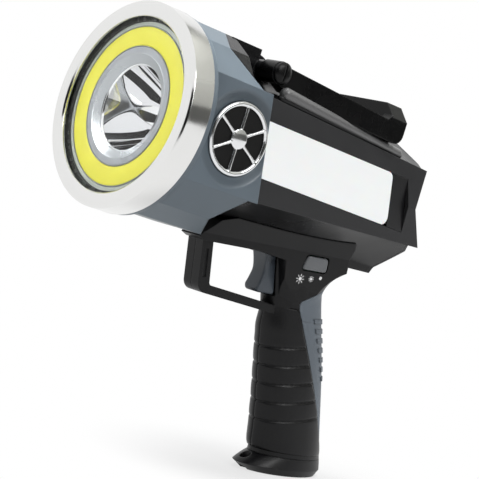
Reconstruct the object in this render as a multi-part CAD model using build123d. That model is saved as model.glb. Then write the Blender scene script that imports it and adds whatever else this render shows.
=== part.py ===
from build123d import *
import math
import os

# Handheld searchlight. Lengths in millimetres.
# The head, body and handle are drawn in the beam frame: +X along the beam from
# the bezel's front face, +Y to the operator's left, +Z up from the beam axis.
# Places along the beam are given as distances back from that face.
# The grip is drawn in the standing frame: +Z up from the base, which lies flat.
# aim() carries beam-frame pieces into the standing frame.

# Whole lamp
beam_pitch = 6.0          # degrees the beam points up when the base is level
grip_back = 216.0         # from the bezel's front face back to the base's middle
base_drop = 196.0         # from the beam axis down to the base's middle
seam_gap = 0.2            # between two shells that meet on the middle plane
fit_gap = 0.25            # between a piece and the pocket it sits in
run_gap = 0.35            # between a moving piece and its neighbours
pin_gap = 0.05            # radial play of a pin in its bore
overrun = 5.0             # how far a cut runs past the face it opens

# Bezel and optics
bezel_r = 65.0
bezel_depth = 16.5
bezel_face_w = 9.8        # width of its flat face, lip and chamfer together
bezel_bore_r = bezel_r - bezel_face_w
bezel_lip = 3.0
bezel_wall = 3.0
bezel_chamfer = 1.2
lens_t = 3.0
gasket_t = 2.5
gasket_show = 1.8         # how much of the seal shows inside the lip
gasket_bore_r = bezel_bore_r - gasket_show
board_edge = 0.4
board_r = gasket_bore_r - board_edge
board_t = 1.3
flood_edge = 3.2          # pale margin of the board outside the yellow ring
flood_w = 11.9
flood_r = board_r - flood_edge
flood_bore_r = flood_r - flood_w
flood_t = 0.6
annulus_w = 4.4           # pale margin of the board inside the yellow ring
reflector_rim_w = 5.6
reflector_rim_r = flood_bore_r - annulus_w
reflector_r = reflector_rim_r - reflector_rim_w
reflector_depth = 35.0
reflector_throat_r = 6.5
reflector_wall = 1.2
reflector_rim_t = 0.8
sink_plate_t = 5.0
sink_fin_t = 2.0
sink_fin_h = 14.0
sink_fins = 10
sink_foot_t = 4.0
spot_board_r = 10.0
spot_board_t = 1.6
spot_dome_r = 2.6

# Head shell, a twelve-sided section
collar_step = 0.6
collar_r = bezel_r - collar_step
head_flat_in = 8.8        # how far the side facet lies inside the collar
head_flat_y = collar_r - head_flat_in
head_ridge_share = 0.588  # of the facet's distance from the middle plane
head_shoulder_shares = (0.7266, 0.9047)
head_crown_shares = (0.4155, 1.0827)
head_ridge_z = head_flat_y * head_ridge_share
head_shoulder_y, head_shoulder_z = (head_flat_y * share for share in head_shoulder_shares)
head_crown_y, head_crown_z = (head_flat_y * share for share in head_crown_shares)
head_wall = 3.0
collar_t = 3.5
spigot_wall = 3.6
ledge_t = 2.5             # ring inside the head that the heat sink rests on
head_crown_back = 43.0    # the head's rear edge at each corner of its section
head_shoulder_back = 36.0
head_upper_back = 58.0
head_flat_back = 66.5
head_flat_low_back = 80.4
head_lower_back = 72.6
head_low_shoulder_back = 60.0
head_belly_back = 72.0
neck_back = 51.5          # where the neck behind the head's upper edges ends

# Round grille on each side of the head
grille_back = 50.0
grille_r = 22.7
grille_rim = 3.4
grille_t = 1.8
grille_hub_r = 6.0
grille_spoke_w = 3.2
grille_spokes = 6
grille_seat = 1.0         # depth of the round seat in the side facet
backing_t = 0.8
stud_r = 1.5

# Body
trunk_step = 0.6          # how far the sides lie inside the head where it ends
trunk_front_y = head_flat_y - trunk_step
trunk_tail_y = 38.8       # and at the tail
tail_back = 247.0         # the side frames' lowest rear corner
tail_top_back = 233.0
tail_notch_back = 227.0
frame_top_z = 31.5
frame_tail_top_z = 27.6
frame_low_z = 32.2
frame_tail_low_z = 23.2
frame_t = 4.5
frame_slope = 0.2         # how steeply the two planes of the side frame fall away
window_half = 17.3        # half height of the light panel and its recess
panel_back = 196.9        # the light panel's rear end at its top edge
recess_back = 214.0       # the recess's rear end at its top edge
end_rake = 9.7            # how much lower those ends lie further back
panel_corner_r = 5.0
panel_t = 2.2
panel_proud = 0.3
panel_rim = 1.5
strip_board_t = 1.6
strip_led = 2.6
strip_led_h = 0.5
strip_led_pitch = 12.0
body_wall = 2.6
sleeve_step = 0.8
plug_step = 2.0
deck_y = 14.0
deck_front_z = 47.0
deck_rear_z = 40.5
bridge_y = 24.0           # half width of the deck ahead of the handle's pivots
bridge_back = 74.0
spine_y = 15.0
spine_crest_back = 85.0
spine_crest_z = 57.5
spine_knee_back = 100.0
spine_knee_z = 51.0
spine_drop_back = 168.0
spine_drop_z = 46.0
spine_end_back = 176.0
tub_y = 15.0
tub_front_back = 194.0
tub_edge_z = 44.5
tub_low_z = 51.3
stern_back = 232.5
stern_low_z = 48.8
stern_top_back = 243.5
deck_end_back = 222.0
deck_end_low_back = 231.0
deck_end_low_z = 31.0
core_notch_back = 221.0
rail_r = 2.6
rail_front_back = 81.0
rail_rear_back = 204.0
rail_in = 2.4             # from the body's side to the rail's axis
rail_up = 2.2             # from the frame's top edge up to the rail's axis

# Folding handle and its pivots
pivot_back = 78.0
pivot_z = 48.5
ear_r = 6.3
ear_out_y = 29.0
ear_web_t = 4.0
hub_r = 7.2
hub_out_y = 43.0
washer_t = 0.6
arm_in_y = 35.5
arm_out_y = 44.0
arm_low_z = 37.8
arm_low_tail_z = 34.9
arm_top_z = 53.6
arm_top_tail_z = 48.6
bar_front_back = 181.0
bar_rear_back = 195.0
bar_top_z = 60.0
bar_low_z = 43.6
bar_corner = 9.3
arm_end_r = 7.0
pivot_pin_r = 3.0
cap_r = 6.8
cap_t = 2.2
cap_dome = 1.8
slot_w = 1.3
slot_d = 0.9

# Grip, standing frame. Shares are of the height, the depth and the half width.
grip_h = 150.0
grip_depth = 55.0
grip_half = 17.0
grip_wall = 2.2
skin_t = 2.2              # thickness of the rubber backstrap
grip_height_shares = (0.233, 0.458, 0.667, 0.853, 1.0)
grip_front_shares = (0.460, 0.587, 0.720, 0.850, 0.92)
grip_rear_shares = (-0.535, -0.373, -0.189, -0.04, -0.05)
grip_half_shares = (0.988, 0.953, 0.929, 0.941, 1.0)

# Housing that saddles the body's belly. Shares are of its length and height.
saddle_len = 118.0
saddle_z = 164.3
saddle_front_y = 18.0
saddle_rear_y = 30.0
saddle_crease_z = 151.0
saddle_crease_front_y = 9.5
saddle_crease_rear_y = 22.0
saddle_low_z = 125.0
saddle_low_front_y = 7.8
saddle_low_rear_y = 17.5
saddle_x_shares = (-0.010, 0.835, 0.920, 0.956, 0.999)
saddle_z_shares = (1.0, 1.0, 0.980, 0.940, 0.902)
saddle_heel_shares = ((-0.051, 0.840), (-0.018, 0.761), (-0.055, 0.64))
saddle_corner_r = 12.0
flare_mid_share = 1.06    # of the grip's half width, where the housing starts
flare_front_share = 1.15  # of the grip's depth, where the flare meets the housing
flare_rear_share = -0.26
flare_top_share = 2.0

# Finger opening and guard
throat_z = 146.0          # underside of the housing over the finger opening
throat_rear_x = 67.3
guard_y = 7.6
guard_front_x = 112.8     # the guard's front bar at its top
guard_front_low_x = 107.9
guard_bar_x = 8.4         # how thick the front bar is along the lamp
guard_low_z = 113.4
guard_bar_z = 5.4         # how thick the lower bar is
guard_rake = 5.9          # degrees the lower bar falls towards the grip
guard_corner_r = 7.0
guard_inner_r = 2.5
finger_rear_x = 40.3
finger_low_z = 119.7

# Grooves and ribs
groove_top_z = 87.1
groove_pitch = 12.3
groove_w = 1.2
groove_d = 0.9
grooves = 5
rib_top_z = 106.0
rib_pitch = 6.4
rib_w = 3.0
rib_h = 0.8
ribs = 7
strap_nose_x = 25.5
strap_nose_r = 3.0
strap_nose_z = 117.0
strap_under_z = 112.0
strap_top_x = 2.0
strap_top_z = 129.5
strap_foot_x = -31.5
strap_foot_z = 15.5

# Trigger
trigger_face_x = 57.3
trigger_top_x = 58.3
trigger_tip_x = 54.2
trigger_y = 6.6
trigger_top_z = 143.2
trigger_low_z = 118.4
trigger_rear_x = 42.0
trigger_rear_top_x = 46.8
trigger_hub_y = 3.0
trigger_dish = 1.4
trigger_slot_gap = 0.5
trigger_pin_half = 9.0
trigger_hub_r = 3.4
trigger_pin_r = 1.5
trigger_pin_x = 50.5
trigger_pin_z = 149.0
trigger_swing = 7.0       # degrees from released to its stop
spring_r = 2.3
spring_wire_r = 0.3
spring_turns = 4
spring_pitch = 0.75
switch_l = 12.0
switch_h = 6.5
switch_half_w = 2.9
switch_z = 136.0
switch_front_x = 41.6
plunger_l = 1.2

# Mode button
button_x = 22.0
button_z = 144.2
button_l = 21.0
button_h = 10.4
button_taper = 1.5        # how much shorter its top edge is at each end
button_corner_r = 2.2
button_proud = 1.0
button_travel = 1.0
button_flange = 1.2
button_flange_t = 1.0
button_root_y = 12.6      # inner face of the button, from the middle plane
mode_board_t = 1.6
mode_board_l = 27.0
mode_board_h = 16.0
mode_board_drop = 3.0     # how far its middle lies below the button's
tact_w = 6.0
tact_h = 2.6
tact_stem_r = 1.6

# Cells and electronics
cell_r = 9.2
cell_l = 65.0
cell_gap = 0.8
cell_foot_z = 26.0
cell_rake = 14.2          # degrees the cells lean with the grip
carrier_t = 1.4
carrier_strap = 3.6
driver_l = 62.0
driver_w = 26.0
driver_t = 1.6
driver_z = -24.0
driver_back = 142.0
chip_h = 3.0

# Base cap. Shares are of its height, its length and its half width.
cap_h = 12.0
cap_len = 73.0
cap_half = 19.2
cap_height_shares = (0.0, 0.383, 0.683, 1.0)
cap_front_shares = (0.377, 0.482, 0.418, 0.329)
cap_rear_shares = (-0.473, -0.520, -0.510, -0.493)
cap_half_shares = (0.906, 1.0, 0.958, 0.917)
cap_floor = 3.0
cap_wall = 3.0
toe_x = 21.0              # the cap is solid ahead of this place
lanyard_r = 3.6
lanyard_x = 28.2
scoop_r = 11.0
scoop_x = 15.5
scoop_z = 16.0
scoop_bite = 1.8

# Rear cover, charge socket and its flap
cover_t = 2.4
socket_w = 9.0
socket_h = 3.2
socket_depth = 7.3
socket_wall = 0.4
socket_board_h = 12.0
socket_board_t = 1.2
flap_w = 15.0
flap_h = 10.0
flap_t = 1.4
flap_pin_r = 0.4
flap_pin_l = 1.0

# Screws
screw_r = 1.5
screw_head_r = 2.8
screw_head_t = 2.0
screw_l = 11.0
screw_slot = 0.8
boss_r = 4.6
boss_seat_y = 5.0         # where a side screw's head seats, from the middle plane


def aim(shape):
    """Carry a beam-frame piece into the standing frame."""
    return Rot(0, -beam_pitch, 0) * Pos(grip_back, 0, base_drop) * shape


def side_slab(points, y_low, y_high):
    """A side profile of (x, z) or (x, z, corner radius), from y_low to y_high."""
    radii = [p[2] if len(p) > 2 else 0 for p in points]
    places = [(p[0], y_low, p[1]) for p in points]
    if any(radii):
        wire = FilletPolyline(*places, radius=radii, close=True)
    else:
        wire = Polyline(*places, close=True)
    return extrude(make_face(wire), amount=y_high - y_low, dir=(0, 1, 0))


def plan_slab(points, z_low, z_high):
    """A plan outline of (x, y) points between two heights."""
    wire = Polyline(*[(x, y, z_low) for x, y in points], close=True)
    return extrude(make_face(wire), amount=z_high - z_low, dir=(0, 0, 1))


def cross_face(points, x):
    """A flat face across the beam from (y, z) points, at one x."""
    return make_face(Polyline(*[(x, y, z) for y, z in points], close=True))


def turned(points):
    """A ring turned about the beam axis from (x, radius) points."""
    profile = make_face(Polyline(*[(x, r, 0) for x, r in points], close=True))
    return revolve(profile, axis=Axis.X)


def rod(r, length):
    """A round bar that stands on the origin."""
    return Cylinder(r, length, align=(Align.CENTER, Align.CENTER, Align.MIN))


def rod_y(x, z, r, y_low, y_high):
    """A round bar along Y."""
    return Pos(x, y_high, z) * Rot(90, 0, 0) * rod(r, y_high - y_low)


def rod_z(x, y, r, z_low, z_high):
    """A round bar along Z."""
    return Pos(x, y, z_low) * rod(r, z_high - z_low)


def block(x_low, x_high, y_low, y_high, z_low, z_high):
    """A box between six planes."""
    box = Box(x_high - x_low, y_high - y_low, z_high - z_low)
    return Pos((x_low + x_high) / 2, (y_low + y_high) / 2, (z_low + z_high) / 2) * box


def other_side(shape):
    """The same piece on the other side of the middle plane."""
    return mirror(shape, about=Plane.XZ)


reach = bezel_r + base_drop   # farther than any surface from the middle plane


def half(shape, side):
    """One half of a shape: side is 1 for the operator's left, -1 for the right."""
    low, high = sorted((side * seam_gap / 2, side * reach))
    return shape & block(-reach * 2, reach * 2, low, high, -reach * 2, reach * 2)


def between(at, start, start_value, end, end_value):
    """Value at a place on the straight line between two places."""
    return start_value + (end_value - start_value) * (at - start) / (end - start)


def screw():
    """Screw with a slotted pan head, head up, seated on the origin."""
    head = rod(screw_head_r, screw_head_t)
    slot = Pos(0, 0, screw_head_t) * Box(screw_head_r * 3, screw_slot, screw_slot * 2)
    return (head - slot) + Pos(0, 0, -screw_l) * rod(screw_r, screw_l)


# Head

spigot_r = bezel_r - bezel_wall - fit_gap
collar_bore_r = spigot_r - spigot_wall
lens_back = bezel_lip
gasket_back = lens_back + lens_t
plate_back = gasket_back + gasket_t
plate_r = collar_bore_r - fit_gap
rim_back = plate_back - reflector_rim_t
foot_back = rim_back + reflector_depth + spot_board_t
sink_back = foot_back + sink_foot_t
wall_back = sink_back + fit_gap      # front face of the body's front wall


def head_points(inset):
    """Twelve-sided section as (y, z) points, drawn in by a wall."""
    share = 1 - inset / head_flat_y
    corner = [
        (head_flat_y, head_ridge_z),
        (head_shoulder_y, head_shoulder_z),
        (head_crown_y, head_crown_z),
    ]
    top = corner + [(-y, z) for y, z in reversed(corner)]
    return [(y * share, z * share) for y, z in top + [(-y, -z) for y, z in top]]


def head_prism(inset, front_back, rear_back):
    """Twelve-sided bar between two distances behind the bezel face."""
    face = cross_face(head_points(inset), -rear_back)
    return extrude(face, amount=rear_back - front_back, dir=(1, 0, 0))


def head_zone(grow):
    """All that lies ahead of the head's rear edges, moved back by grow."""
    high = bezel_r + overrun
    points = [
        (overrun, high),
        (-head_crown_back - grow, high),
        (-head_crown_back - grow, head_crown_z),
        (-head_shoulder_back - grow, head_shoulder_z),
        (-head_upper_back - grow, head_ridge_z + grow),
        (-head_flat_back - grow, head_ridge_z + grow),
        (-head_flat_low_back - grow, -head_ridge_z - grow),
        (-head_lower_back - grow, -head_ridge_z - grow),
        (-head_low_shoulder_back - grow, -head_shoulder_z),
        (-head_belly_back - grow, -head_crown_z),
        (-head_belly_back - grow, -high),
        (overrun, -high),
    ]
    return side_slab(points, -high, high)


def make_bezel():
    """Metal ring: flat face, plain side, a lip that holds the lens."""
    inner = bezel_r - bezel_wall
    return turned([
        (0, bezel_bore_r + bezel_chamfer),
        (0, bezel_r - bezel_chamfer),
        (-bezel_chamfer, bezel_r),
        (-bezel_depth, bezel_r),
        (-bezel_depth, inner),
        (-bezel_lip, inner),
        (-bezel_lip, bezel_bore_r),
        (-bezel_chamfer, bezel_bore_r),
    ])


def washer_ring(front_back, rear_back, bore, r):
    """Flat ring round the beam axis between two distances behind the bezel face."""
    return turned([(-front_back, bore), (-front_back, r), (-rear_back, r), (-rear_back, bore)])


def make_lens():
    """Clear flat disc behind the bezel's lip."""
    return washer_ring(lens_back, gasket_back, 0, bezel_r - bezel_wall - fit_gap)


def make_gasket():
    """Black ring that fills the channel between the lens and the heat sink."""
    return washer_ring(gasket_back, plate_back, gasket_bore_r, plate_r)


def make_flood_board():
    """Pale ring-shaped board that carries the flood light."""
    return washer_ring(plate_back - board_t, plate_back, reflector_rim_r + fit_gap, board_r)


def make_flood_ring():
    """Yellow light ring on the board."""
    back = plate_back - board_t
    return washer_ring(back - flood_t, back, flood_bore_r, flood_r)


def bowl_radius(depth):
    """Inner radius of the bowl at a depth behind its mouth, a parabola."""
    span = reflector_r ** 2 - reflector_throat_r ** 2
    return math.sqrt(reflector_r ** 2 - span * depth / reflector_depth)


def make_reflector():
    """Parabolic bowl whose flat rim lies on the heat sink."""
    steps = 8
    inner_depths = [reflector_depth * i / steps for i in range(steps + 1)]
    hem = reflector_depth - reflector_rim_t
    outer_depths = [reflector_rim_t + hem * i / steps for i in range(steps + 1)]
    inside = [(-rim_back - d, bowl_radius(d), 0) for d in inner_depths]
    outside = [(-rim_back - d, bowl_radius(d) + reflector_wall, 0) for d in outer_depths]
    front_rim = Polyline(inside[0], (-rim_back, reflector_rim_r, 0),
                         (-plate_back, reflector_rim_r, 0), outside[0])
    edges = Spline(*inside) + front_rim + Spline(*outside) + Line(outside[-1], inside[-1])
    return revolve(make_face(edges), axis=Axis.X)


bowl_clear_r = reflector_r + reflector_wall + fit_gap
sink_foot_r = bowl_clear_r + sink_fin_h
sink_bolt_r = sink_foot_r - screw_head_r - sink_fin_t
sink_bolts = 4


def at_bolts(shape):
    """Copies of a shape round the beam axis at the head screws' places."""
    turns = [(i + 0.5) / sink_bolts * 360 for i in range(sink_bolts)]
    return [Rot(turn, 0, 0) * Pos(0, sink_bolt_r, 0) * shape for turn in turns]


def make_heat_sink():
    """Front plate, straight fins and a rear foot that carries the spot light."""
    fin_back = plate_back + sink_plate_t
    plate = washer_ring(plate_back, fin_back, bowl_clear_r, plate_r)
    foot = washer_ring(foot_back, sink_back, 0, sink_foot_r)
    fins = []
    for i in range(sink_fins):
        fin = block(-foot_back, -fin_back, bowl_clear_r + sink_fin_t, sink_foot_r,
                    -sink_fin_t / 2, sink_fin_t / 2)
        fins.append(Rot(360 * i / sink_fins, 0, 0) * fin)
    hole = Pos(-sink_back - overrun, 0, 0) * Rot(0, 90, 0) * rod(screw_r + pin_gap,
                                                                 sink_foot_t + overrun * 2)
    return (plate + fins + foot) - at_bolts(hole)


def make_spot_light():
    """Small round board with a domed light in the reflector's throat."""
    face = foot_back - spot_board_t
    board = washer_ring(face, foot_back, 0, spot_board_r)
    dome = Pos(-face, 0, 0) * Sphere(spot_dome_r)
    return board + (dome & block(-foot_back, 0, -reach, reach, -reach, reach))


def make_head_shell():
    """Faceted shell with a round collar and a spigot for the bezel."""
    end = head_flat_low_back + overrun
    outer = head_prism(0, bezel_depth, end) & head_zone(0)
    collar_back = bezel_depth + collar_t
    hollow = head_prism(head_wall, collar_back, end + overrun)
    bore = washer_ring(0, collar_back, 0, collar_bore_r)
    collar = washer_ring(bezel_depth, collar_back, collar_bore_r, collar_r)
    spigot = washer_ring(gasket_back, bezel_depth, collar_bore_r, spigot_r)
    rest_back = plate_back + sink_plate_t
    ledge = washer_ring(rest_back, rest_back + ledge_t, plate_r - ledge_t,
                        collar_bore_r + spigot_wall / 2)
    shell = (outer - hollow - bore) + collar + spigot + ledge
    for side in (1, -1):
        low, high = sorted((side * (head_flat_y - grille_seat), side * (head_flat_y + overrun)))
        shell -= rod_y(-grille_back, 0, grille_r + fit_gap, low, high)
        low, high = sorted((side * (head_flat_y - head_wall - overrun), side * head_flat_y))
        shell -= rod_y(-grille_back, 0, stud_r + pin_gap, low, high)
    return shell


def make_head_screws():
    """Four screws from the heat sink's foot back into the body's front wall."""
    one = Pos(-foot_back, 0, 0) * Rot(0, 90, 0) * screw()
    return Compound(at_bolts(one))


def make_grille():
    """Round grille: a rim, a raised hub and straight spokes, on the left side."""
    low = head_flat_y - grille_seat + backing_t
    high = low + grille_t
    bore_r = grille_r - grille_rim
    rim = rod_y(-grille_back, 0, grille_r, low, high)
    grille = rim - rod_y(-grille_back, 0, bore_r, low - overrun, high + overrun)
    grille += rod_y(-grille_back, 0, grille_hub_r, low, high + grille_t / 3)
    for i in range(grille_spokes):
        spoke = block(-grille_spoke_w / 2, grille_spoke_w / 2, low, high - grille_t / 4,
                      0, bore_r + grille_rim / 2)
        grille += Pos(-grille_back, 0, 0) * Rot(0, 360 * i / grille_spokes, 0) * spoke
    return grille


def make_grille_backing():
    """Dark disc behind the grille with a stud in the head's wall, left side."""
    low = head_flat_y - grille_seat
    disc = rod_y(-grille_back, 0, grille_r, low, low + backing_t)
    return disc + rod_y(-grille_back, 0, stud_r, head_flat_y - head_wall, low)


# Body

def trunk_y(back):
    """Half width of the body's sides at a distance behind the bezel face."""
    return between(back, head_flat_back, trunk_front_y, tail_back, trunk_tail_y)


def frame_top(back):
    """Height of the side frame's top edge at a distance behind the bezel face."""
    return between(back, head_flat_back, frame_top_z, tail_top_back, frame_tail_top_z)


def trunk_points(back, inset):
    """Body section as (y, z) points at a distance behind the bezel face."""
    side = trunk_y(back) - frame_t - inset
    low = between(back, head_flat_low_back, frame_low_z, tail_back, frame_tail_low_z)
    deck = between(back, head_flat_back, deck_front_z, deck_end_back, deck_rear_z)
    top = [(side, frame_top(back) - inset), (deck_y - inset / 2, deck - inset)]
    belly = [(tub_y - inset / 2, -tub_edge_z + inset), (side, -low + inset)]
    left = belly + top
    return left + [(-y, z) for y, z in reversed(left)]


def trunk(inset, front_back, rear_back):
    """Tapered trunk between two distances behind the bezel face."""
    front = cross_face(trunk_points(front_back, inset), -front_back)
    rear = cross_face(trunk_points(rear_back, inset), -rear_back)
    return loft([front, rear], ruled=True)


def tail_zone(inset):
    """All that lies ahead of the body core's rear edges, drawn in by a wall."""
    high = bezel_r + overrun
    points = [
        (0, high),
        (-deck_end_back + inset, high),
        (-deck_end_back + inset, deck_rear_z),
        (-deck_end_low_back + inset, deck_end_low_z),
        (-core_notch_back + inset, 0),
        (-stern_top_back + inset, -frame_tail_low_z - frame_t),
        (-stern_back + inset, -stern_low_z),
        (-stern_back + inset, -high),
        (0, -high),
    ]
    return side_slab(points, -high, high)


def spine_form(inset):
    """Raised middle of the deck that falls in steps towards the tail."""
    points = [
        (-wall_back - inset, head_crown_z - inset),
        (-bridge_back + inset, head_crown_z - inset),
        (-spine_crest_back, spine_crest_z - inset),
        (-spine_knee_back, spine_knee_z - inset),
        (-spine_drop_back + inset, spine_drop_z - inset),
        (-spine_end_back + inset, deck_rear_z),
        (-spine_end_back + inset, frame_tail_top_z),
        (-wall_back - inset, frame_tail_top_z),
    ]
    return side_slab(points, -spine_y + inset, spine_y - inset)


def tub_form(inset):
    """Keel under the tail."""
    points = [
        (-tub_front_back - inset, -frame_low_z),
        (-tub_front_back - inset, -tub_low_z + inset),
        (-stern_back - overrun, -stern_low_z + inset),
        (-stern_back - overrun, -frame_tail_low_z),
    ]
    return side_slab(points, -tub_y + inset, tub_y - inset)


def body_form(inset, open_tail=False):
    """Outer form of the body's core behind its front wall, drawn in by a wall."""
    start = wall_back + inset
    bridge = block(-bridge_back + inset, -start, -bridge_y + inset, bridge_y - inset,
                   head_ridge_z, head_crown_z - inset)
    outside = trunk(inset, start, tail_back + overrun) + bridge
    outside += [spine_form(inset), tub_form(inset)]
    outside -= head_zone(fit_gap + inset)
    plug = head_prism(head_wall + fit_gap + inset, start, head_flat_low_back + overrun)
    plug &= head_zone(-plug_step - inset)
    sleeve = trunk(inset + sleeve_step, start, head_flat_low_back + overrun * 2)
    sleeve &= head_prism(head_wall + fit_gap + inset, start, head_flat_low_back + overrun * 3)
    form = outside + [plug, sleeve]
    return form if open_tail else form & tail_zone(inset)


def make_neck():
    """Faceted band behind the head's upper edges, open towards the head."""
    band = head_prism(0, head_shoulder_back, neck_back)
    band -= head_prism(head_wall, 0, wall_back)
    band -= head_zone(fit_gap)
    return band & block(-reach, 0, -reach, reach, head_ridge_z / 2, reach)


def side_plate(points, low, high):
    """A plate with a side profile, parallel to the left side of the body.

    low and high are its faces' distances out from the tapered side.
    """
    ends = (head_upper_back, tail_back + overrun)
    inner = [(-back, trunk_y(back) + low) for back in ends]
    outer = [(-back, trunk_y(back) + high) for back in reversed(ends)]
    return side_slab(points, 0, reach) & plan_slab(inner + outer, -reach, reach)


def end_line(back, grow):
    """Points of a raked rear end, from the window's top edge to its bottom edge."""
    high = window_half + grow
    return [(-back, high), (-back - end_rake, -high)]


def make_recess_floor():
    """Raised seat on the body's side behind the light panel."""
    panel = panel_back + fit_gap
    front_top, front_low = end_line(panel, -fit_gap)
    rear_top, rear_low = end_line(recess_back - fit_gap, -fit_gap)
    return side_plate([front_top, rear_top, rear_low, front_low], -frame_t - body_wall / 2, 0)


def make_rail():
    """Round bead on the deck above the left side frame."""
    ends = []
    for back in (rail_front_back, rail_rear_back):
        side = trunk_y(back) - frame_t
        ends.append(Vector(-back, side - rail_in, frame_top(back) + rail_up))
    way = ends[1] - ends[0]
    bar = Plane(origin=ends[0], z_dir=way.normalized()).location * rod(rail_r, way.length)
    return bar + [Pos(*end) * Sphere(rail_r) for end in ends]


def make_ear():
    """Pivot boss and its web, from the spine out to the left arm."""
    barrel = rod_y(-pivot_back, pivot_z, ear_r, 0, ear_out_y)
    web = side_slab([
        (-pivot_back + ear_r, pivot_z),
        (-pivot_back - ear_r, pivot_z),
        (-pivot_back - ear_r * 1.6, frame_top_z),
        (-pivot_back + ear_r * 1.6, frame_top_z),
    ], 0, ear_out_y - ear_web_t)
    return barrel + web


body_bolts = (
    (spine_knee_back + boss_r * 2, deck_front_z - boss_r * 2),
    (deck_end_back - boss_r * 2, frame_tail_top_z),
    (head_flat_low_back + boss_r * 4, -frame_low_z),
    (stern_back - boss_r * 3, -frame_low_z - boss_r / 2),
)


def bolt_bosses(places, form):
    """Bosses for the screws that join two halves, trimmed to the outer form."""
    bosses = []
    for x, z in places:
        bosses.append(rod_y(x, z, boss_r, -reach, reach) & form)
    return bosses


def bolt_holes(places):
    """Counterbores from the right and screw holes across the middle plane."""
    cuts = []
    for x, z in places:
        cuts.append(rod_y(x, z, screw_head_r + fit_gap, -reach, -boss_seat_y))
        cuts.append(rod_y(x, z, screw_r + pin_gap, -reach, screw_l - boss_seat_y + fit_gap))
    return cuts


def bolt_screws(places):
    """The screws that join two halves, heads to the right."""
    return [Pos(x, -boss_seat_y, z) * Rot(90, 0, 0) * screw() for x, z in places]


def place_x(points):
    """Turn distances behind the bezel face into beam-frame x places."""
    return [(-back, z) for back, z in points]


def head_boss(r):
    """A bar behind the body's front wall, one of four round the beam axis."""
    depth = foot_back + screw_l + body_wall - wall_back
    return Pos(-wall_back, 0, 0) * Rot(0, -90, 0) * rod(r, depth)


def facet_place(top, low, share):
    """Place on a rear facet between two (back, z) corners, +Z pointing out."""
    along_x = top[0] - low[0]
    along_z = low[1] - top[1]
    turn = math.degrees(math.atan2(along_z, -along_x))
    back = top[0] + (low[0] - top[0]) * share
    return Pos(-back, 0, top[1] + along_z * share) * Rot(0, turn, 0)


upper_facet = ((deck_end_low_back, deck_end_low_z), (core_notch_back, 0))
lower_facet = ((core_notch_back, 0), (stern_top_back, -frame_tail_low_z - frame_t))
port_share = 0.5
bolt_share = 0.45
cover_bolt_y = trunk_tail_y - frame_t - body_wall - boss_r * 0.6
cover_bolts = []
for side in (1, -1):
    for facet in (upper_facet, lower_facet):
        cover_bolts.append(facet_place(*facet, bolt_share) * Pos(0, side * cover_bolt_y, 0))
driver_posts = (driver_back - driver_l / 2 + boss_r, driver_back + driver_l / 2 - boss_r)
pin_depth = ear_out_y - deck_y    # how deep a pivot cap's shaft goes into the ear


def make_body_core():
    """Both body shells in one piece, before they part on the middle plane."""
    form = body_form(0) & tail_zone(cover_t)
    core = form - body_form(body_wall, open_tail=True)
    core += make_neck()
    core += [boss & form for boss in at_bolts(head_boss(boss_r))]
    core += bolt_bosses(place_x(body_bolts), form)
    for place in cover_bolts:
        boss = place * Pos(0, 0, -screw_l - body_wall) * rod(boss_r, screw_l + body_wall)
        core += boss & form
    for back in driver_posts:
        for side in (1, -1):
            foot_z = body_wall / 2 - tub_edge_z
            core += rod_z(-back, side * driver_w / 4, stud_r * 2, foot_z, driver_z)
    for piece in (make_recess_floor(), make_rail(), make_ear()):
        core += [piece, other_side(piece)]
    core -= at_bolts(head_boss(screw_r + pin_gap))
    core -= Pos(-wall_back - boss_r, 0, 0) * Rot(0, 90, 0) * rod(boss_r, boss_r * 2)
    core -= bolt_holes(place_x(body_bolts))
    for place in cover_bolts:
        core -= place * Pos(0, 0, -screw_l - fit_gap) * rod(screw_r + pin_gap, screw_l * 2)
    for side in (1, -1):
        low, high = sorted((side * (ear_out_y - pin_depth), side * reach))
        core -= rod_y(-pivot_back, pivot_z, pivot_pin_r + pin_gap, low, high)
    hatch = tact_w
    core -= block(-driver_back - hatch, -driver_back + hatch, -hatch, hatch,
                  -tub_low_z, driver_z - hatch)
    return core


def make_side_frame():
    """Creased frame round the left light panel, with its pointed tail."""
    faces = []
    for back in (head_upper_back, tail_back + overrun):
        inner = trunk_y(back) - frame_t
        ridge = trunk_y(back) + frame_slope * window_half
        high = frame_top(back)
        low = between(back, head_flat_low_back, frame_low_z, tail_back, frame_tail_low_z)
        points = [(inner, -low), (inner, high), (ridge - frame_slope * high, high),
                  (ridge, 0), (ridge - frame_slope * low, -low)]
        faces.append(cross_face(points, -back))
    frame = loft(faces, ruled=True)
    high = bezel_r
    frame &= side_slab([
        (0, high),
        (-tail_top_back, high),
        (-tail_top_back, frame_tail_top_z),
        (-tail_notch_back, 0),
        (-tail_back, -frame_tail_low_z),
        (-tail_back, -high),
        (0, -high),
    ], 0, reach)
    top, low = end_line(recess_back, 0)
    window = [(-head_crown_back, window_half), top, low, (-head_crown_back, -window_half)]
    return frame - head_zone(fit_gap) - side_slab(window, 0, reach)


def panel_outline(inset):
    """Outline of the left light panel, drawn in by a rim."""
    grow = -fit_gap - inset
    top, low = end_line(panel_back - inset, grow)
    corner = panel_corner_r - inset
    high = window_half + grow
    front = -head_crown_back
    return [(front, high), (*top, corner), (*low, corner), (front, -high)]


def make_side_diffuser():
    """White tray that covers the left strip lights."""
    tray = side_plate(panel_outline(0), -frame_t, panel_proud) - head_zone(fit_gap)
    cavity = side_plate(panel_outline(panel_rim), -frame_t - overrun, panel_proud - panel_t)
    return tray - (cavity - head_zone(fit_gap + panel_rim))


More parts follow.
